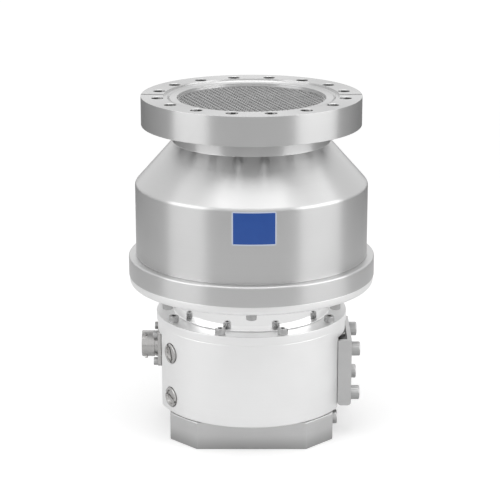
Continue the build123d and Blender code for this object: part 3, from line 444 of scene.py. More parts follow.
# ---------------------------------------------------------------------------------------------
# Base neck. The wide seat flange, the polished neck and the ledge are one turned piece of
# aluminium, which joins the casing to the base housing. The neck is the only mirror-bright part.
# ---------------------------------------------------------------------------------------------
neck_low, neck_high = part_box("base_neck")
ledge_radius = 0.0671
neck_radius = 0.0545
seat_radius = 0.0855
sleeve_seat = 0.0512
ledge_bottom = neck_low.z
ledge_top = ledge_bottom + 0.0061
seat_bottom = ledge_top + 0.0212
seat_top = seat_bottom + 0.0060
spigot_radius = inner_radius - 0.0001
spigot_inner = inner_radius - 0.0034
neck = turn([
    (sleeve_seat, ledge_bottom),
    (ledge_radius, ledge_bottom),
    (ledge_radius, ledge_top),
    *round_corner((ledge_radius, ledge_top), (neck_radius, ledge_top), (neck_radius, seat_bottom), 0.0010),
    *round_corner((neck_radius, ledge_top), (neck_radius, seat_bottom), (seat_radius, seat_bottom), 0.0010),
    *round_corner((neck_radius, seat_bottom), (seat_radius, seat_bottom), (seat_radius, seat_top), 0.0026),
    (seat_radius, seat_top),
    (spigot_radius, seat_top),
    (spigot_radius, seat_top + 0.0040),
    (spigot_radius - 0.0019, seat_top + 0.0040),
    (spigot_radius - 0.0019, seat_top + 0.0066),
    (spigot_radius, seat_top + 0.0066),
    (spigot_radius, neck_high.z),
    (spigot_inner, neck_high.z),
    (spigot_inner, seat_top + 0.0030),
    (sleeve_seat + 0.0040, seat_top - 0.0010),
    (sleeve_seat, seat_top - 0.0010),
])
use_modifier(neck, "BEVEL", width=0.0004, segments=2, limit_method="ANGLE", angle_limit=radians(50))


def drill(radius, depth, point, direction=(0, 0, 1), sides=32):
    """A cylinder centred on the point, to cut a round hole with, or a hexagonal one."""
    bpy.ops.object.select_all(action="DESELECT")
    bpy.ops.mesh.primitive_cylinder_add(vertices=sides, radius=radius, depth=depth)
    tool = bpy.context.object
    tool.location = point
    tool.rotation_euler = Vector(direction).to_track_quat("Z", "Y").to_euler()
    bpy.ops.object.transform_apply(location=True, rotation=True)
    return tool


def on_circle(radius, degrees, height=0.0):
    """A point at an angle from the front, positive towards the right."""
    return Vector((radius * sin(radians(degrees)), -radius * cos(radians(degrees)), height))


casing_screw_circle = 0.0800
casing_screw_angles = [45.0 * number for number in range(8)]
neck_screw_circle = 0.0620
neck_screw_angles = [20.0 + 40.0 * number for number in range(9)]
m3_clearance = 0.00175
m4_clearance = 0.00225
m5_clearance = 0.00275
m6_clearance = 0.00325
cut_away(neck, [drill(m4_clearance, 0.02, on_circle(casing_screw_circle, angle, seat_bottom))
                for angle in casing_screw_angles]
         + [drill(m4_clearance, 0.02, on_circle(neck_screw_circle, angle, ledge_top))
            for angle in neck_screw_angles])

base_aluminium = Finish("base_aluminium", Metallic=1.0, Anisotropic=0.35)
spot, x, y, z = base_aluminium.place()
radius = (x * x + y * y) ** 0.5
polished = radius.under(neck_radius + 0.0006) * z.over(ledge_top + 0.0004) * z.under(seat_bottom - 0.0004)
lines_place = base_aluminium.node("ShaderNodeCombineXYZ", "Vector", (),
                                  {"X": x * 5.0, "Y": y * 5.0, "Z": (z + radius * 0.87) * 2300.0})
lines = base_aluminium.noise(lines_place, 1.0, 2.0)
clouds = base_aluminium.noise(spot, 34.0, 4.0)
base_aluminium.feed("Base Color", base_aluminium.blend(clouds * 0.7 + lines * 0.3, grey(0.86), grey(0.95)))
matt = 0.42 + (clouds - 0.5) * 0.10 + (lines - 0.5) * 0.06
base_aluminium.feed("Roughness", matt - polished * (matt - 0.09))
base_aluminium.bump(lines, 0.000006)
settle(neck, "turned_neck", base_aluminium.material)
smooth(neck)
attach(neck, "root")
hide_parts("base_neck")

# ---------------------------------------------------------------------------------------------
# Cap screws of the casing and the neck. Bright socket-head screws of 4 mm thread: eight hang under
# the seat flange and pull the casing down, nine stand on the ledge and hold the neck to the base.
# ---------------------------------------------------------------------------------------------
KNURLS = 26


def cap_screw(head_radius, head_height, shank_radius, shank_length, across_flats):
    """A socket-head screw with a knurled head that stands on the origin, and its shank below."""
    bpy.ops.object.select_all(action="DESELECT")
    bpy.ops.mesh.primitive_cylinder_add(vertices=2 * KNURLS, radius=head_radius, depth=head_height,
                                        location=(0, 0, head_height / 2))
    screw = bpy.context.object
    bpy.ops.object.transform_apply(location=True)
    for vertex in screw.data.vertices:
        step = round((atan2(vertex.co.y, vertex.co.x) + pi) / (pi / KNURLS))
        if step % 2:
            vertex.co.xy = vertex.co.xy * 0.965
    rounding = head_height * 0.14
    for end, depth in ((head_height, rounding), (0.0, rounding * 0.3)):
        pick_faces(screw, lambda middle, normal: abs(middle.z - end) < 1e-6)
        bpy.ops.mesh.bevel(offset=depth, segments=3)
        bpy.ops.object.mode_set(mode="OBJECT")
    pick_faces(screw, lambda middle, normal: abs(middle.z) < 1e-6)
    bpy.ops.mesh.inset(thickness=head_radius * 0.96 - rounding * 0.3 - shank_radius)
    bpy.ops.mesh.extrude_region_move(TRANSFORM_OT_translate={"value": (0, 0, -shank_length)})
    bpy.ops.mesh.bevel(offset=shank_radius * 0.25, segments=1)
    bpy.ops.object.mode_set(mode="OBJECT")
    socket = drill(across_flats / 2 / cos(pi / 6), head_height * 1.1, (0, 0, head_height), sides=6)
    cut_away(screw, [socket])
    return screw


def pick_faces(piece, test):
    """Goes into edit mode with the faces selected whose middle and normal pass the test."""
    only(piece)
    bpy.ops.object.mode_set(mode="EDIT")
    bpy.ops.mesh.select_mode(type="FACE")
    bpy.ops.mesh.select_all(action="DESELECT")
    bpy.ops.object.mode_set(mode="OBJECT")
    for face in piece.data.polygons:
        face.select = bool(test(face.center, face.normal))
    bpy.ops.object.mode_set(mode="EDIT")


def set_out(model, spots):
    """Copies a model to each point and direction, each turned by chance, and joins the copies."""
    copies = []
    for number, (point, direction) in enumerate(spots):
        twin = model.copy()
        twin.data = model.data.copy()
        bpy.context.scene.collection.objects.link(twin)
        only(twin)
        twin.rotation_euler = (0, 0, 1.37 * number)
        bpy.ops.object.transform_apply(rotation=True)
        twin.location = point
        twin.rotation_euler = Vector(direction).to_track_quat("Z", "Y").to_euler()
        bpy.ops.object.transform_apply(location=True, rotation=True)
        copies.append(twin)
    bpy.data.objects.remove(model)
    return joined(copies)


screw_steel = plain_metal("screw_steel", 0.46, 0.30, 90.0, 0.00001)


def fit_screws(screws, name, node):
    """Finishes a group of screws and puts it in the place of its CAD node."""
    settle(screws, name, screw_steel)
    smooth(screws, 35)
    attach(screws, "root")
    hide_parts(node)


m3 = {"head_radius": 0.00275, "head_height": 0.0030, "shank_radius": 0.0015, "across_flats": 0.0025}
m4 = {"head_radius": 0.0035, "head_height": 0.0040, "shank_radius": 0.0020, "across_flats": 0.0030}
m5 = {"head_radius": 0.00425, "head_height": 0.0050, "shank_radius": 0.0025, "across_flats": 0.0040}
m6 = {"head_radius": 0.0050, "head_height": 0.0060, "shank_radius": 0.0030, "across_flats": 0.0050}
down, up, left, right, back = (0, 0, -1), (0, 0, 1), (-1, 0, 0), (1, 0, 0), (0, 1, 0)
fit_screws(set_out(cap_screw(shank_length=0.0160, **m4),
                   [(on_circle(casing_screw_circle, angle, seat_bottom), down)
                    for angle in casing_screw_angles]),
           "casing_cap_screws", "casing_screws")
fit_screws(set_out(cap_screw(shank_length=0.0125, **m4),
                   [(on_circle(neck_screw_circle, angle, ledge_top), up) for angle in neck_screw_angles]),
           "neck_cap_screws", "neck_screws")

# ---------------------------------------------------------------------------------------------
# Base housing. A thick cup of aluminium, turned and fine blasted, with three milled flats: the
# connector on the left, the side cover on the right and the exhaust at the rear.
# ---------------------------------------------------------------------------------------------
housing_low, housing_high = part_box("base_housing")
housing_radius = 0.0663
housing_bottom = housing_low.z
housing_top = housing_high.z
left_flat = 0.0630
right_flat = 0.0605
rear_flat = 0.0620
flat_top = housing_top - 0.0072
chamber_floor = housing_bottom + 0.0127
chamber_radius = 0.0494
sleeve_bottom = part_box("drag_sleeve")[0].z
well_radius = 0.0300
housing = turn([
    (well_radius, housing_bottom),
    *round_corner((well_radius, housing_bottom), (housing_radius, housing_bottom),
                  (housing_radius, housing_top), 0.0010),
    *round_corner((housing_radius, housing_bottom), (housing_radius, housing_top),
                  (sleeve_seat, housing_top), 0.0006),
    (sleeve_seat, housing_top),
    (sleeve_seat, sleeve_bottom),
    (chamber_radius, sleeve_bottom),
    (chamber_radius, chamber_floor),
    (well_radius, chamber_floor),
], sides=192)


def slab(low, high):
    """A block between two corners, to cut with or to shape."""
    bpy.ops.object.select_all(action="DESELECT")
    low, high = Vector(low), Vector(high)
    bpy.ops.mesh.primitive_cube_add(size=1, location=(low + high) / 2, scale=high - low)
    block = bpy.context.object
    bpy.ops.object.transform_apply(location=True, scale=True)
    return block


beyond = 0.10
cut_away(housing, [slab((-beyond, -beyond, housing_bottom - 0.01), (-left_flat, beyond, flat_top))])
cut_away(housing, [slab((right_flat, -beyond, housing_bottom - 0.01), (beyond, beyond, flat_top))])
cut_away(housing, [slab((-beyond, rear_flat, housing_bottom - 0.01), (beyond, beyond, flat_top))])

port_angle = -57.7
port_levels = (housing_top - 0.0160, housing_bottom + 0.0113)
port_out = on_circle(1.0, port_angle)
port_seat = housing_radius - 0.0016
port_seat_radius = 0.0074
port_radius = 0.0050
for level in port_levels:
    spot_face = on_circle(port_seat + 0.005, port_angle, level)
    cut_away(housing, [drill(port_seat_radius, 0.010, spot_face, port_out, 48)])
    cut_away(housing, [drill(port_radius, 0.022, on_circle(port_seat, port_angle, level), port_out, 48)])
connector_level = flat_top - 0.0135
exhaust_level = flat_top - 0.0265
connector_hole = 0.0088
exhaust_hole = 0.0125
cut_away(housing, [drill(connector_hole, 0.016, (-left_flat, 0, connector_level), left, 48)])
cut_away(housing, [drill(exhaust_hole, 0.050, (0, rear_flat, exhaust_level), back, 48)])
use_modifier(housing, "BEVEL", width=0.0003, segments=2, limit_method="ANGLE", angle_limit=radians(40))
settle(housing, "blasted_housing", base_aluminium.material)
smooth(housing)
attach(housing, "root")
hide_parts("base_housing")

# ---------------------------------------------------------------------------------------------
# Cooling-port plugs. Two nickel-plated plugs with a flat rim, a dished middle and a screwdriver
# slot close the water ports at the front left, each in its own spot face.
# ---------------------------------------------------------------------------------------------
plug_radius = port_seat_radius - 0.0005
plug_height = 0.0026


def slotted_plug():
    """A plug that stands on the origin, its slot along X, with its threaded stem below."""
    bpy.ops.object.select_all(action="DESELECT")
    bpy.ops.mesh.primitive_cylinder_add(vertices=48, radius=plug_radius, depth=plug_height,
                                        location=(0, 0, plug_height / 2))
    plug = bpy.context.object
    bpy.ops.object.transform_apply(location=True)
    pick_faces(plug, lambda middle, normal: normal.z > 0.9)
    bpy.ops.mesh.bevel(offset=0.0005, segments=3)
    bpy.ops.object.mode_set(mode="OBJECT")
    pick_faces(plug, lambda middle, normal: abs(middle.z - plug_height) < 1e-6)
    bpy.ops.mesh.inset(thickness=0.0012)
    bpy.ops.mesh.inset(thickness=0.0004)
    bpy.ops.transform.translate(value=(0, 0, -0.0011))
    bpy.ops.object.mode_set(mode="OBJECT")
    pick_faces(plug, lambda middle, normal: normal.z < -0.9)
    bpy.ops.mesh.inset(thickness=plug_radius - 0.0048)
    bpy.ops.mesh.extrude_region_move(TRANSFORM_OT_translate={"value": (0, 0, -0.0095)})
    bpy.ops.object.mode_set(mode="OBJECT")
    cut_away(plug, [slab((-0.02, -0.0008, plug_height - 0.0021), (0.02, 0.0008, 0.02))])
    use_modifier(plug, "BEVEL", width=0.00015, segments=2, limit_method="ANGLE", angle_limit=radians(35))
    return plug


plug_nickel = plain_metal("plug_nickel", 0.50, 0.26, 70.0, 0.00001, warmth=0.006)
plugs = []
for level, slot_turn in zip(port_levels, (20, 75)):
    plug = slotted_plug()
    frame_out = Matrix((Vector((0, 0, 1)), port_out.cross(Vector((0, 0, 1))), port_out)).transposed().to_4x4()
    plug.matrix_world = (Matrix.Translation(on_circle(port_seat, port_angle, level)) @ frame_out
                         @ Matrix.Rotation(radians(slot_turn), 4, "Z"))
    only(plug)
    bpy.ops.object.transform_apply(location=True, rotation=True)
    plugs.append(plug)
plugs = joined(plugs)
settle(plugs, "slotted_port_plugs", plug_nickel)
smooth(plugs)
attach(plugs, "root")
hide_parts("cooling_plugs")

# ---------------------------------------------------------------------------------------------
# Control connector. A nickel-plated shell with a square flange and bayonet lugs is screwed to the
# left flat over a rubber gasket, and holds a black insert with seven pins round three.
# ---------------------------------------------------------------------------------------------
gasket_sheet = 0.0008
plate_side = 0.0260
plate_height = 0.0024
barrel_length = 0.0148 - gasket_sheet - plate_height
connector_radius = 0.0093
socket_radius = connector_radius - 0.0015
insert_depth = 0.0050
screw_pitch = 0.0200


def square_plate(side, height, corner):
    """A square plate with rounded corners that stands on the origin."""
    plate = slab((-side / 2, -side / 2, 0), (side / 2, side / 2, height))
    pick_edges(plate, lambda first, second: abs(first.z - second.z) > height / 2)
    bpy.ops.mesh.bevel(offset=corner, segments=5)
    bpy.ops.object.mode_set(mode="OBJECT")
    return plate


def corner_holes(pitch, radius, depth=0.05):
    return [drill(radius, depth, (x * pitch / 2, y * pitch / 2, 0)) for x in (-1, 1) for y in (-1, 1)]


def stand_on(piece, point, direction):
    """Turns a piece from +Z to the direction and puts its origin on the point."""
    only(piece)
    piece.location = point
    piece.rotation_euler = Vector(direction).to_track_quat("Z", "Y").to_euler()
    bpy.ops.object.transform_apply(location=True, rotation=True)


connector_spot = Vector((-left_flat, 0, connector_level))
gasket = square_plate(plate_side, gasket_sheet, 0.0020)
cut_away(gasket, [drill(connector_hole, 0.05, (0, 0, 0), sides=48), *corner_holes(screw_pitch, m3_clearance)])
stand_on(gasket, connector_spot, left)


def grained(name, metallic, scale, detail, dark, light, roughness, swing, relief=0.0):
    """A material whose one grain carries its shade, its gloss and, where it has any, its relief."""
    made = Finish(name, Metallic=metallic)
    spot, *_ = made.place()
    grain = made.noise(spot, scale, detail)
    made.feed("Base Color", made.blend(grain, dark, light))
    made.feed("Roughness", roughness + (grain - 0.5) * swing)
    if relief:
        made.bump(grain, relief)
    return made.material


seal_rubber = grained("seal_rubber", 0.0, 900.0, 3.0, grey(0.018), grey(0.035), 0.55, 0.2, 0.00002)
settle(gasket, "connector_flat_gasket", seal_rubber)
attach(gasket, "root")
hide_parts("connector_gasket")

plate = square_plate(plate_side, plate_height, 0.0020)
cut_away(plate, corner_holes(screw_pitch, m3_clearance))
use_modifier(plate, "BEVEL", width=0.0003, segments=2, limit_method="ANGLE", angle_limit=radians(50))
barrel_end = plate_height + barrel_length
rim_width = 0.0004
barrel = turn([
    (socket_radius, barrel_end),
    (socket_radius, barrel_end - insert_depth - 0.006),
    (socket_radius, -0.0060),
    (connector_radius - 0.0007, -0.0060),
    (connector_radius - 0.0007, plate_height / 2),
    (connector_radius, plate_height / 2),
    (connector_radius, plate_height + 0.0014),
    (connector_radius - 0.0007, plate_height + 0.0016),
    (connector_radius - 0.0007, plate_height + 0.0024),
    (connector_radius, plate_height + 0.0026),
    (connector_radius, barrel_end - rim_width),
    (connector_radius - rim_width, barrel_end),
], sides=64)
lugs = []
for angle in (-60, 60, 180):
    out = Vector((cos(radians(angle)), sin(radians(angle)), 0))
    lug_spot = out * (connector_radius - 0.0001) + Vector((0, 0, barrel_end - 0.003))
    lug = drill(0.0011, 0.0026, lug_spot, out, 20)
    use_modifier(lug, "BEVEL", width=0.0002, segments=2, limit_method="ANGLE", angle_limit=radians(35))
    lugs.append(lug)
shell = joined([plate, barrel, *lugs])
stand_on(shell, connector_spot + Vector((-gasket_sheet, 0, 0)), left)
settle(shell, "connector_barrel", plug_nickel)
smooth(shell)
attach(shell, "root")
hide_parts("connector_shell")

insert_top = barrel_end - insert_depth
pin_spots = [(0.0050 * cos(2 * pi * k / 7), 0.0050 * sin(2 * pi * k / 7)) for k in range(7)]
pin_spots += [(0.0020 * cos(2 * pi * k / 3), 0.0020 * sin(2 * pi * k / 3)) for k in range(3)]
insert = drill(socket_radius - 0.0001, 0.006, (0, 0, insert_top - 0.003), sides=48)
cut_away(insert, [drill(0.0009, 0.0008, (*spot, insert_top), sides=16) for spot in pin_spots])
stand_on(insert, connector_spot + Vector((-gasket_sheet, 0, 0)), left)
black_insulator = grained("black_insulator", 0.0, 1400.0, 2.0, grey(0.010), grey(0.022), 0.36, 0.16, 0.00001)
settle(insert, "connector_pin_carrier", black_insulator)
smooth(insert)
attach(insert, "root")
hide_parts("connector_insert")

pins = []
for spot in pin_spots:
    pin = drill(0.00055, 0.0075, (*spot, insert_top - 0.00025), sides=16)
    pick_faces(pin, lambda middle, normal: normal.z > 0.9)
    bpy.ops.mesh.bevel(offset=0.0003, segments=4)
    bpy.ops.object.mode_set(mode="OBJECT")
    pins.append(pin)
pins = joined(pins)
stand_on(pins, connector_spot + Vector((-gasket_sheet, 0, 0)), left)
pin_gold = grained("pin_gold", 1.0, 300.0, 2.0, (0.70, 0.50, 0.20, 1), (0.85, 0.66, 0.32, 1), 0.20, 0.1)
settle(pins, "gold_pins", pin_gold)
smooth(pins)
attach(pins, "root")
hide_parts("connector_pins")

half = screw_pitch / 2
fit_screws(set_out(cap_screw(shank_length=0.0092, **m3),
                   [(connector_spot + Vector((-gasket_sheet - plate_height, y, z)), left)
                    for y in (-half, half) for z in (-half, half)]),
           "connector_cap_screws", "connector_screws")

# ---------------------------------------------------------------------------------------------
# Side cover. A satin metal tray, open at the top, covers the power lead-through on the right flat.
# A black moulding with a small bright screw fills it, and four cap screws hold it on.
# ---------------------------------------------------------------------------------------------
cover_low, cover_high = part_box("side_cover")
cover_wall = 0.0030
cover_screw_y = 0.0220
cover_middle = (cover_low.z + cover_high.z) / 2
cover_levels = (cover_middle - 0.01625, cover_middle + 0.01625)
cover = slab(cover_low, cover_high)
pick_edges(cover, lambda first, second: (max(first.z, second.z) < cover_low.z + 0.001
                                         and abs(first.y - second.y) > 0.01))
bpy.ops.mesh.bevel(offset=0.0025, segments=6)
bpy.ops.object.mode_set(mode="OBJECT")
cut_away(cover, [slab((right_flat - 0.001, cover_low.y + cover_wall, cover_low.z + cover_wall),
                      (cover_high.x - cover_wall, cover_high.y - cover_wall, cover_high.z + 0.01))])
cover_spots = [(cover_high.x, y, z) for y in (-cover_screw_y, cover_screw_y) for z in cover_levels]
cut_away(cover, [drill(m6_clearance, 0.03, spot, right) for spot in cover_spots])
use_modifier(cover, "BEVEL", width=0.0005, segments=3, limit_method="ANGLE", angle_limit=radians(40))
cover_metal = plain_metal("cover_metal", 0.56, 0.38, 45.0, 0.00001)
settle(cover, "lead_through_cover", cover_metal)
smooth(cover)
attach(cover, "root")
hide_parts("side_cover")

filler_low, filler_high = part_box("cover_insert")
filler = slab(filler_low, filler_high)
cut_away(filler, [drill(m6_clearance, 0.03, spot, right) for spot in cover_spots])
screw_low, screw_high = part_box("insert_screw")
screw_spot = ((screw_low.x + screw_high.x) / 2, (screw_low.y + screw_high.y) / 2, filler_high.z)
cut_away(filler, [drill(0.00155, 0.010, screw_spot)])
use_modifier(filler, "BEVEL", width=0.0003, segments=2, limit_method="ANGLE", angle_limit=radians(40))
settle(filler, "black_moulding", black_insulator)
smooth(filler)
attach(filler, "root")
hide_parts("cover_insert")

fit_screws(set_out(cap_screw(head_radius=0.00235, head_height=0.0020, shank_radius=0.0015,
                             shank_length=0.0045, across_flats=0.0020), [(screw_spot, up)]),
           "moulding_screw", "insert_screw")
fit_screws(set_out(cap_screw(shank_length=0.0185, **m6), [(spot, right) for spot in cover_spots]),
           "cover_cap_screws", "side_cover_screws")

# ---------------------------------------------------------------------------------------------
# Foot. A square block of milled aluminium with cut corners, screwed to the housing from below,
# with four mounting holes underneath and a vent plug on its right face.
# ---------------------------------------------------------------------------------------------
foot_low, foot_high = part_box("foot_block")
foot_corner = 0.0190
foot = slab(foot_low, foot_high)
pick_edges(foot, lambda first, second: abs(first.z - second.z) > 0.01)
bpy.ops.mesh.bevel(offset=foot_corner, segments=1)
bpy.ops.object.mode_set(mode="OBJECT")
foot_screw_circle = 0.0500
foot_screw_angles = [60.0 * number for number in range(6)]
screw_recess = 0.0080
mount_half = 0.0420
vent_low, vent_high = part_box("vent_plug")
vent_spot = Vector((foot_high.x, (vent_low.y + vent_high.y) / 2, (vent_low.z + vent_high.z) / 2))
mount_radius = 0.0034
vent_hole = 0.00355
head_recess = 0.0055
cut_away(foot, [drill(head_recess, 2 * screw_recess, on_circle(foot_screw_circle, angle))
                for angle in foot_screw_angles]
         + [drill(mount_radius, 0.028, (x, y, 0))
            for x in (-mount_half, mount_half) for y in (-mount_half, mount_half)]
         + [drill(vent_hole, 0.017, vent_spot, right)])
cut_away(foot, [drill(m6_clearance, 0.10, on_circle(foot_screw_circle, angle))
                for angle in foot_screw_angles])
use_modifier(foot, "BEVEL", width=0.0005, segments=2, limit_method="ANGLE", angle_limit=radians(30))

foot_aluminium = Finish("foot_aluminium", Metallic=1.0)
spot, x, y, z = foot_aluminium.place()
sweep_place = foot_aluminium.node("ShaderNodeCombineXYZ", "Vector", (),
                                  {"X": x * 60.0, "Y": y * 60.0, "Z": z * 900.0})
sweeps = foot_aluminium.noise(sweep_place, 1.0, 3.0)
clouds = foot_aluminium.noise(spot, 40.0, 3.0)
metal = foot_aluminium.blend(sweeps * 0.4 + clouds * 0.6, grey(0.52), grey(0.64))
# Painted shade: the base colour darkens towards the bottom, standing in for the floor's contact shadow seen
# in the lower faces.
painted_low_shade = foot_aluminium.node("ShaderNodeMapRange", "Result", {"interpolation_type": "SMOOTHSTEP"},
                             {"Value": z, "From Min": 0.0, "From Max": 0.012, "To Min": 0.75, "To Max": 0.0})
foot_aluminium.feed("Base Color", foot_aluminium.blend(painted_low_shade, metal, grey(0.36)))
foot_aluminium.feed("Roughness", 0.40 + (sweeps - 0.5) * 0.14)
foot_aluminium.bump(sweeps, 0.00001)
settle(foot, "milled_foot", foot_aluminium.material)
smooth(foot)
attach(foot, "root")
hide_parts("foot_block")

fit_screws(set_out(cap_screw(shank_length=0.0203, **m6),
                   [(on_circle(foot_screw_circle, angle, screw_recess), down)
                    for angle in foot_screw_angles]),
           "foot_cap_screws", "foot_screws")

vent_head = 0.0034
plug = drill(0.0050, vent_head, (0, 0, vent_head / 2), sides=40)
pick_faces(plug, lambda middle, normal: normal.z > 0.9)
bpy.ops.mesh.bevel(offset=0.0006, segments=3)
bpy.ops.object.mode_set(mode="OBJECT")
pick_faces(plug, lambda middle, normal: normal.z < -0.9)
bpy.ops.mesh.inset(thickness=0.0015)
bpy.ops.mesh.extrude_region_move(TRANSFORM_OT_translate={"value": (0, 0, -0.0080)})
bpy.ops.object.mode_set(mode="OBJECT")
cut_away(plug, [drill(0.0020 / cos(pi / 6), 0.0048, (0, 0, vent_head), sides=6)])
fit_screws(set_out(plug, [(vent_spot, right)]), "hexagon_vent_plug", "vent_plug")

# ---------------------------------------------------------------------------------------------
# Exhaust port. A turned steel pipe with a square plate on the rear flat and a clamp flange of
# nominal bore 25 on its end, with the recess for the centring ring.
# ---------------------------------------------------------------------------------------------
port_low, port_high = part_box("exhaust_port")
port_length = port_high.y - rear_flat
pipe_radius = 0.0140
pipe_bore = 0.0120
clamp_radius = 0.0200
clamp_rim = 0.0030
recess_radius = 0.0131
recess_depth = 0.0030
plate_thickness = 0.0060
plate_pitch = 0.0340
slope = (clamp_radius - pipe_radius) * tan(radians(15))
pipe = turn([
    (pipe_bore, plate_thickness / 2),
    (pipe_radius, plate_thickness / 2),
    *round_corner((pipe_radius, 0), (pipe_radius, port_length - clamp_rim - slope),
                  (clamp_radius, port_length - clamp_rim), 0.0008),
    (clamp_radius, port_length - clamp_rim),
    (clamp_radius, port_length - 0.0004),
    (clamp_radius - 0.0004, port_length),
    (recess_radius, port_length),
    (recess_radius, port_length - recess_depth),
    (pipe_bore, port_length - recess_depth),
], sides=96)
plate = square_plate(port_high.x - port_low.x, plate_thickness, 0.0040)
use_modifier(plate, "BEVEL", width=0.0004, segments=2, limit_method="ANGLE", angle_limit=radians(50))
cut_away(plate, [drill(pipe_bore, 0.05, (0, 0, 0), sides=96), *corner_holes(plate_pitch, m5_clearance)])
exhaust = joined([plate, pipe])
exhaust_spot = Vector((0, rear_flat, exhaust_level))
stand_on(exhaust, exhaust_spot, back)
port_steel = plain_metal("port_steel", 0.58, 0.30, 55.0, 0.00001)
settle(exhaust, "exhaust_clamp_port", port_steel)
smooth(exhaust)
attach(exhaust, "root")
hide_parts("exhaust_port")
half = plate_pitch / 2
fit_screws(set_out(cap_screw(shank_length=0.0150, **m5),
                   [(exhaust_spot + Vector((x, plate_thickness, z)), back)
                    for x in (-half, half) for z in (-half, half)]),
           "exhaust_cap_screws", "exhaust_screws")

# ---------------------------------------------------------------------------------------------
# Blank label. A thin plate of blue enamel with a pale border is bent to the barrel's front. It
# carries nothing at all.
# ---------------------------------------------------------------------------------------------
label_low = Vector((-0.0130, 0, casing_foot + 0.0410))
label_high = Vector((0.0165, 0, casing_foot + 0.0640))
label_thickness = 0.0003
label_gap = 0.00005
label_corner = 0.0016
bpy.ops.object.select_all(action="DESELECT")
bpy.ops.mesh.primitive_grid_add(x_subdivisions=48, y_subdivisions=36, size=1)
label = bpy.context.object
label.location = (label_low + label_high) / 2
label.scale = (label_high.x - label_low.x, label_high.z - label_low.z, 1)
label.rotation_euler = (pi / 2, 0, 0)
bpy.ops.object.transform_apply(location=True, rotation=True, scale=True)
inner_low = label_low + Vector((label_corner, 0, label_corner))
inner_high = label_high - Vector((label_corner, 0, label_corner))
for vertex in label.data.vertices:
    # The corners are pulled in to an arc, then the sheet is bent round the barrel.
    core = Vector((min(max(vertex.co.x, inner_low.x), inner_high.x), 0,
                   min(max(vertex.co.z, inner_low.z), inner_high.z)))
    reach = vertex.co - core
    if reach.length > label_corner:
        vertex.co = core + reach.normalized() * label_corner
    turned_by = vertex.co.x / barrel_radius
    vertex.co.x = (barrel_radius + label_gap) * sin(turned_by)
    vertex.co.y = -(barrel_radius + label_gap) * cos(turned_by)
use_modifier(label, "SOLIDIFY", thickness=label_thickness, offset=1.0)
label_enamel = Finish("label_enamel", Metallic=0.0, Coat_Weight=0.3)
spot, x, y, z = label_enamel.place()
edge_width = 0.0009
inside = (x.over(label_low.x + edge_width) * x.under(label_high.x - edge_width)
          * z.over(label_low.z + edge_width) * z.under(label_high.z - edge_width))
clouds = label_enamel.noise(spot, 120.0, 3.0)
blue = label_enamel.blend(clouds, (0.006, 0.060, 0.30, 1), (0.010, 0.075, 0.34, 1))
label_enamel.feed("Base Color", label_enamel.blend(inside, (0.55, 0.60, 0.70, 1), blue))
label_enamel.feed("Roughness", 0.35 + (clouds - 0.5) * 0.1)
settle(label, "blank_label", label_enamel.material)
smooth(label)
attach(label, "root")

# ---------------------------------------------------------------------------------------------
# Inner pieces that keep their CAD shape. Each gets the finish of its own metal: milled blades,
# turned rings, ground shaft and bearings, stacked iron, dipped copper, cast resin and rubber.
# ---------------------------------------------------------------------------------------------


def clothe(material, *names):
    """Gives the CAD nodes this material."""
    for name in names:
        piece = nodes[name]
        piece.data.materials.clear()
        piece.data.materials.append(material)


clothe(seal_rubber, "casing_seal", "neck_seal", "foot_seal")
clothe(turned_finish("blade_aluminium", 0.62, 0.34, 900.0, 0.00002), "bladed_rotor",
       *(f"stator_disc_{number}" for number in range(1, 5)))
clothe(turned_finish("ring_aluminium", 0.68, 0.32, 1100.0, 0.00002), "drag_sleeve", "bearing_column",
       *(f"spacer_ring_{number}" for number in range(1, 5)))
clothe(screw_steel, "column_screws", "rotor_screws")
clothe(turned_finish("shaft_steel", 0.56, 0.16, 2600.0, 0.00001), "rotor_shaft", "lower_magnet_sleeve",
       "motor_magnet", "upper_magnet_sleeve", "thrust_disc", "shaft_nut")
clothe(turned_finish("bearing_steel", 0.55, 0.10, 3000.0, 0.00001),
       *(f"{side}_{part}" for side in ("upper", "lower")
         for part in ("inner_race", "outer_race", "bearing_balls")))

lamination_iron = Finish("lamination_iron", Metallic=0.8)
spot, x, y, z = lamination_iron.place()
sheets = lamination_iron.node("ShaderNodeMath", "Value", {"operation": "SINE"}, {0: z * (2 * pi / 0.0005)})
rust = lamination_iron.noise(spot, 90.0, 3.0)
lamination_iron.feed("Base Color", lamination_iron.blend(rust, grey(0.10), grey(0.20, 0.01)))
lamination_iron.feed("Roughness", 0.5 + (rust - 0.5) * 0.2)
lamination_iron.bump(sheets, 0.00004)
clothe(lamination_iron.material, "lower_radial_magnet", "upper_radial_magnet", "motor_stator",
       "lower_axial_magnet", "upper_axial_magnet")

winding_copper = Finish("winding_copper", Metallic=0.9, Coat_Weight=0.4)
spot, x, y, z = winding_copper.place()
strands = winding_copper.node("ShaderNodeMath", "Value", {"operation": "SINE"},
                              {0: (z + (x * x + y * y) ** 0.5) * (2 * pi / 0.0007)})
clouds = winding_copper.noise(spot, 80.0, 3.0)
winding_copper.feed("Base Color", winding_copper.blend(clouds, (0.42, 0.14, 0.05, 1), (0.66, 0.28, 0.12, 1)))
winding_copper.feed("Roughness", 0.35 + (clouds - 0.5) * 0.2)
winding_copper.bump(strands, 0.00012)
clothe(winding_copper.material, "motor_windings")

clothe(grained("sensor_resin", 0.0, 150.0, 3.0, (0.02, 0.05, 0.035, 1), (0.05, 0.10, 0.07, 1), 0.4, 0.2),
       "lower_sensor", "upper_sensor")

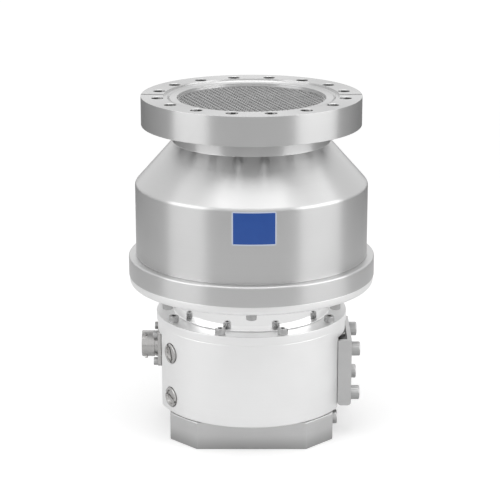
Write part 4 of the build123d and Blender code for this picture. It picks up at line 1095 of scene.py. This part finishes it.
# ---------------------------------------------------------------------------------------------
# Camera, lamps, floor and backdrop. The lamps are large and soft, as round a small product
# table, and the background is white to the camera and in the metal's reflections.
# ---------------------------------------------------------------------------------------------
camera_distance = 1.1821
camera_height = top + 0.2277
camera_data = bpy.data.cameras.new("camera")
camera_data.lens = 126.0
camera_data.sensor_width = 36.0
camera = bpy.data.objects.new("camera", camera_data)
bpy.context.scene.collection.objects.link(camera)
camera.location = (-0.0002, -camera_distance, camera_height)
camera.rotation_euler = (radians(90 - 15.984), 0, radians(0.04))
bpy.context.scene.camera = camera

bpy.context.scene.view_settings.view_transform = "Standard"


def lamp(name, place, target, size, power):
    """A rectangular area lamp that points at the target."""
    data = bpy.data.lights.new(name, "AREA")
    data.shape = "RECTANGLE"
    data.size, data.size_y = size
    data.energy = power
    made = bpy.data.objects.new(name, data)
    bpy.context.scene.collection.objects.link(made)
    made.location = place
    made.rotation_euler = (Vector(target) - Vector(place)).to_track_quat("-Z", "Y").to_euler()
    made.visible_camera = False


lamp("right_softbox", on_circle(1.25, 70, 0.50), (0, 0, 0.15), (1.20, 1.0), 6.4)
lamp("left_softbox", on_circle(1.25, -64, 0.50), (0, 0, 0.15), (1.00, 1.0), 4.8)
lamp("overhead", (0.0, -0.15, 1.35), (0, -0.10, 0), (1.2, 1.1), 6.5)

# The room is white to the camera and in the metal's reflections, and lights it more gently.
world = bpy.data.worlds.new("studio")
world.use_nodes = True
world_tree = world.node_tree
world_light = world_tree.nodes["Background"]
world_light.inputs["Color"].default_value = (1, 1, 1, 1)
bpy.context.scene.world = world


def light_path(tree):
    """Says whether the camera, and whether a glossy or a see-through surface, looks at this."""
    ray = tree.nodes.new("ShaderNodeLightPath")
    seen = Wire(ray.outputs["Is Camera Ray"])
    return seen, Wire(ray.outputs["Is Glossy Ray"]).larger(Wire(ray.outputs["Is Transmission Ray"]))


seen, mirrored = light_path(world_tree)
level = 0.55 + seen.larger(mirrored) * 0.45
world_tree.links.new(level.socket, world_light.inputs["Strength"])

# The floor is white paper that keeps the object's shadow. Far from the object its colour is painted dark in
# the metal's reflections only: a painted shade that stands in for the dimmer room round a small lit table.
bpy.ops.object.select_all(action="DESELECT")
bpy.ops.mesh.primitive_plane_add(size=8.0, location=(0, 0, 0))
floor = bpy.context.object
floor.name = "floor"
paper = Finish("paper", Roughness=0.9, Metallic=0.0, Emission_Strength=1.0, Specular_IOR_Level=0.0)
seen, mirrored = light_path(paper.tree)
spot, x, y, z = paper.place()
away = (x * x + y * y) ** 0.5
far = paper.node("ShaderNodeMapRange", "Result", {"interpolation_type": "SMOOTHSTEP"},
                 {"Value": away, "From Min": 0.3, "From Max": 2.0, "To Min": 0.0, "To Max": 1.0})
far_reflection_shade = paper.node("ShaderNodeMapRange", "Result", {"interpolation_type": "SMOOTHSTEP"},
                       {"Value": away, "From Min": 0.4, "From Max": 0.9, "To Min": 0.0, "To Max": 1.0})
paper.feed("Base Color", paper.blend(mirrored * far_reflection_shade, grey(0.80), grey(0.22)))
paper.feed("Emission Color", seen * (0.34 + far * 0.24))
floor.data.materials.append(paper.material)
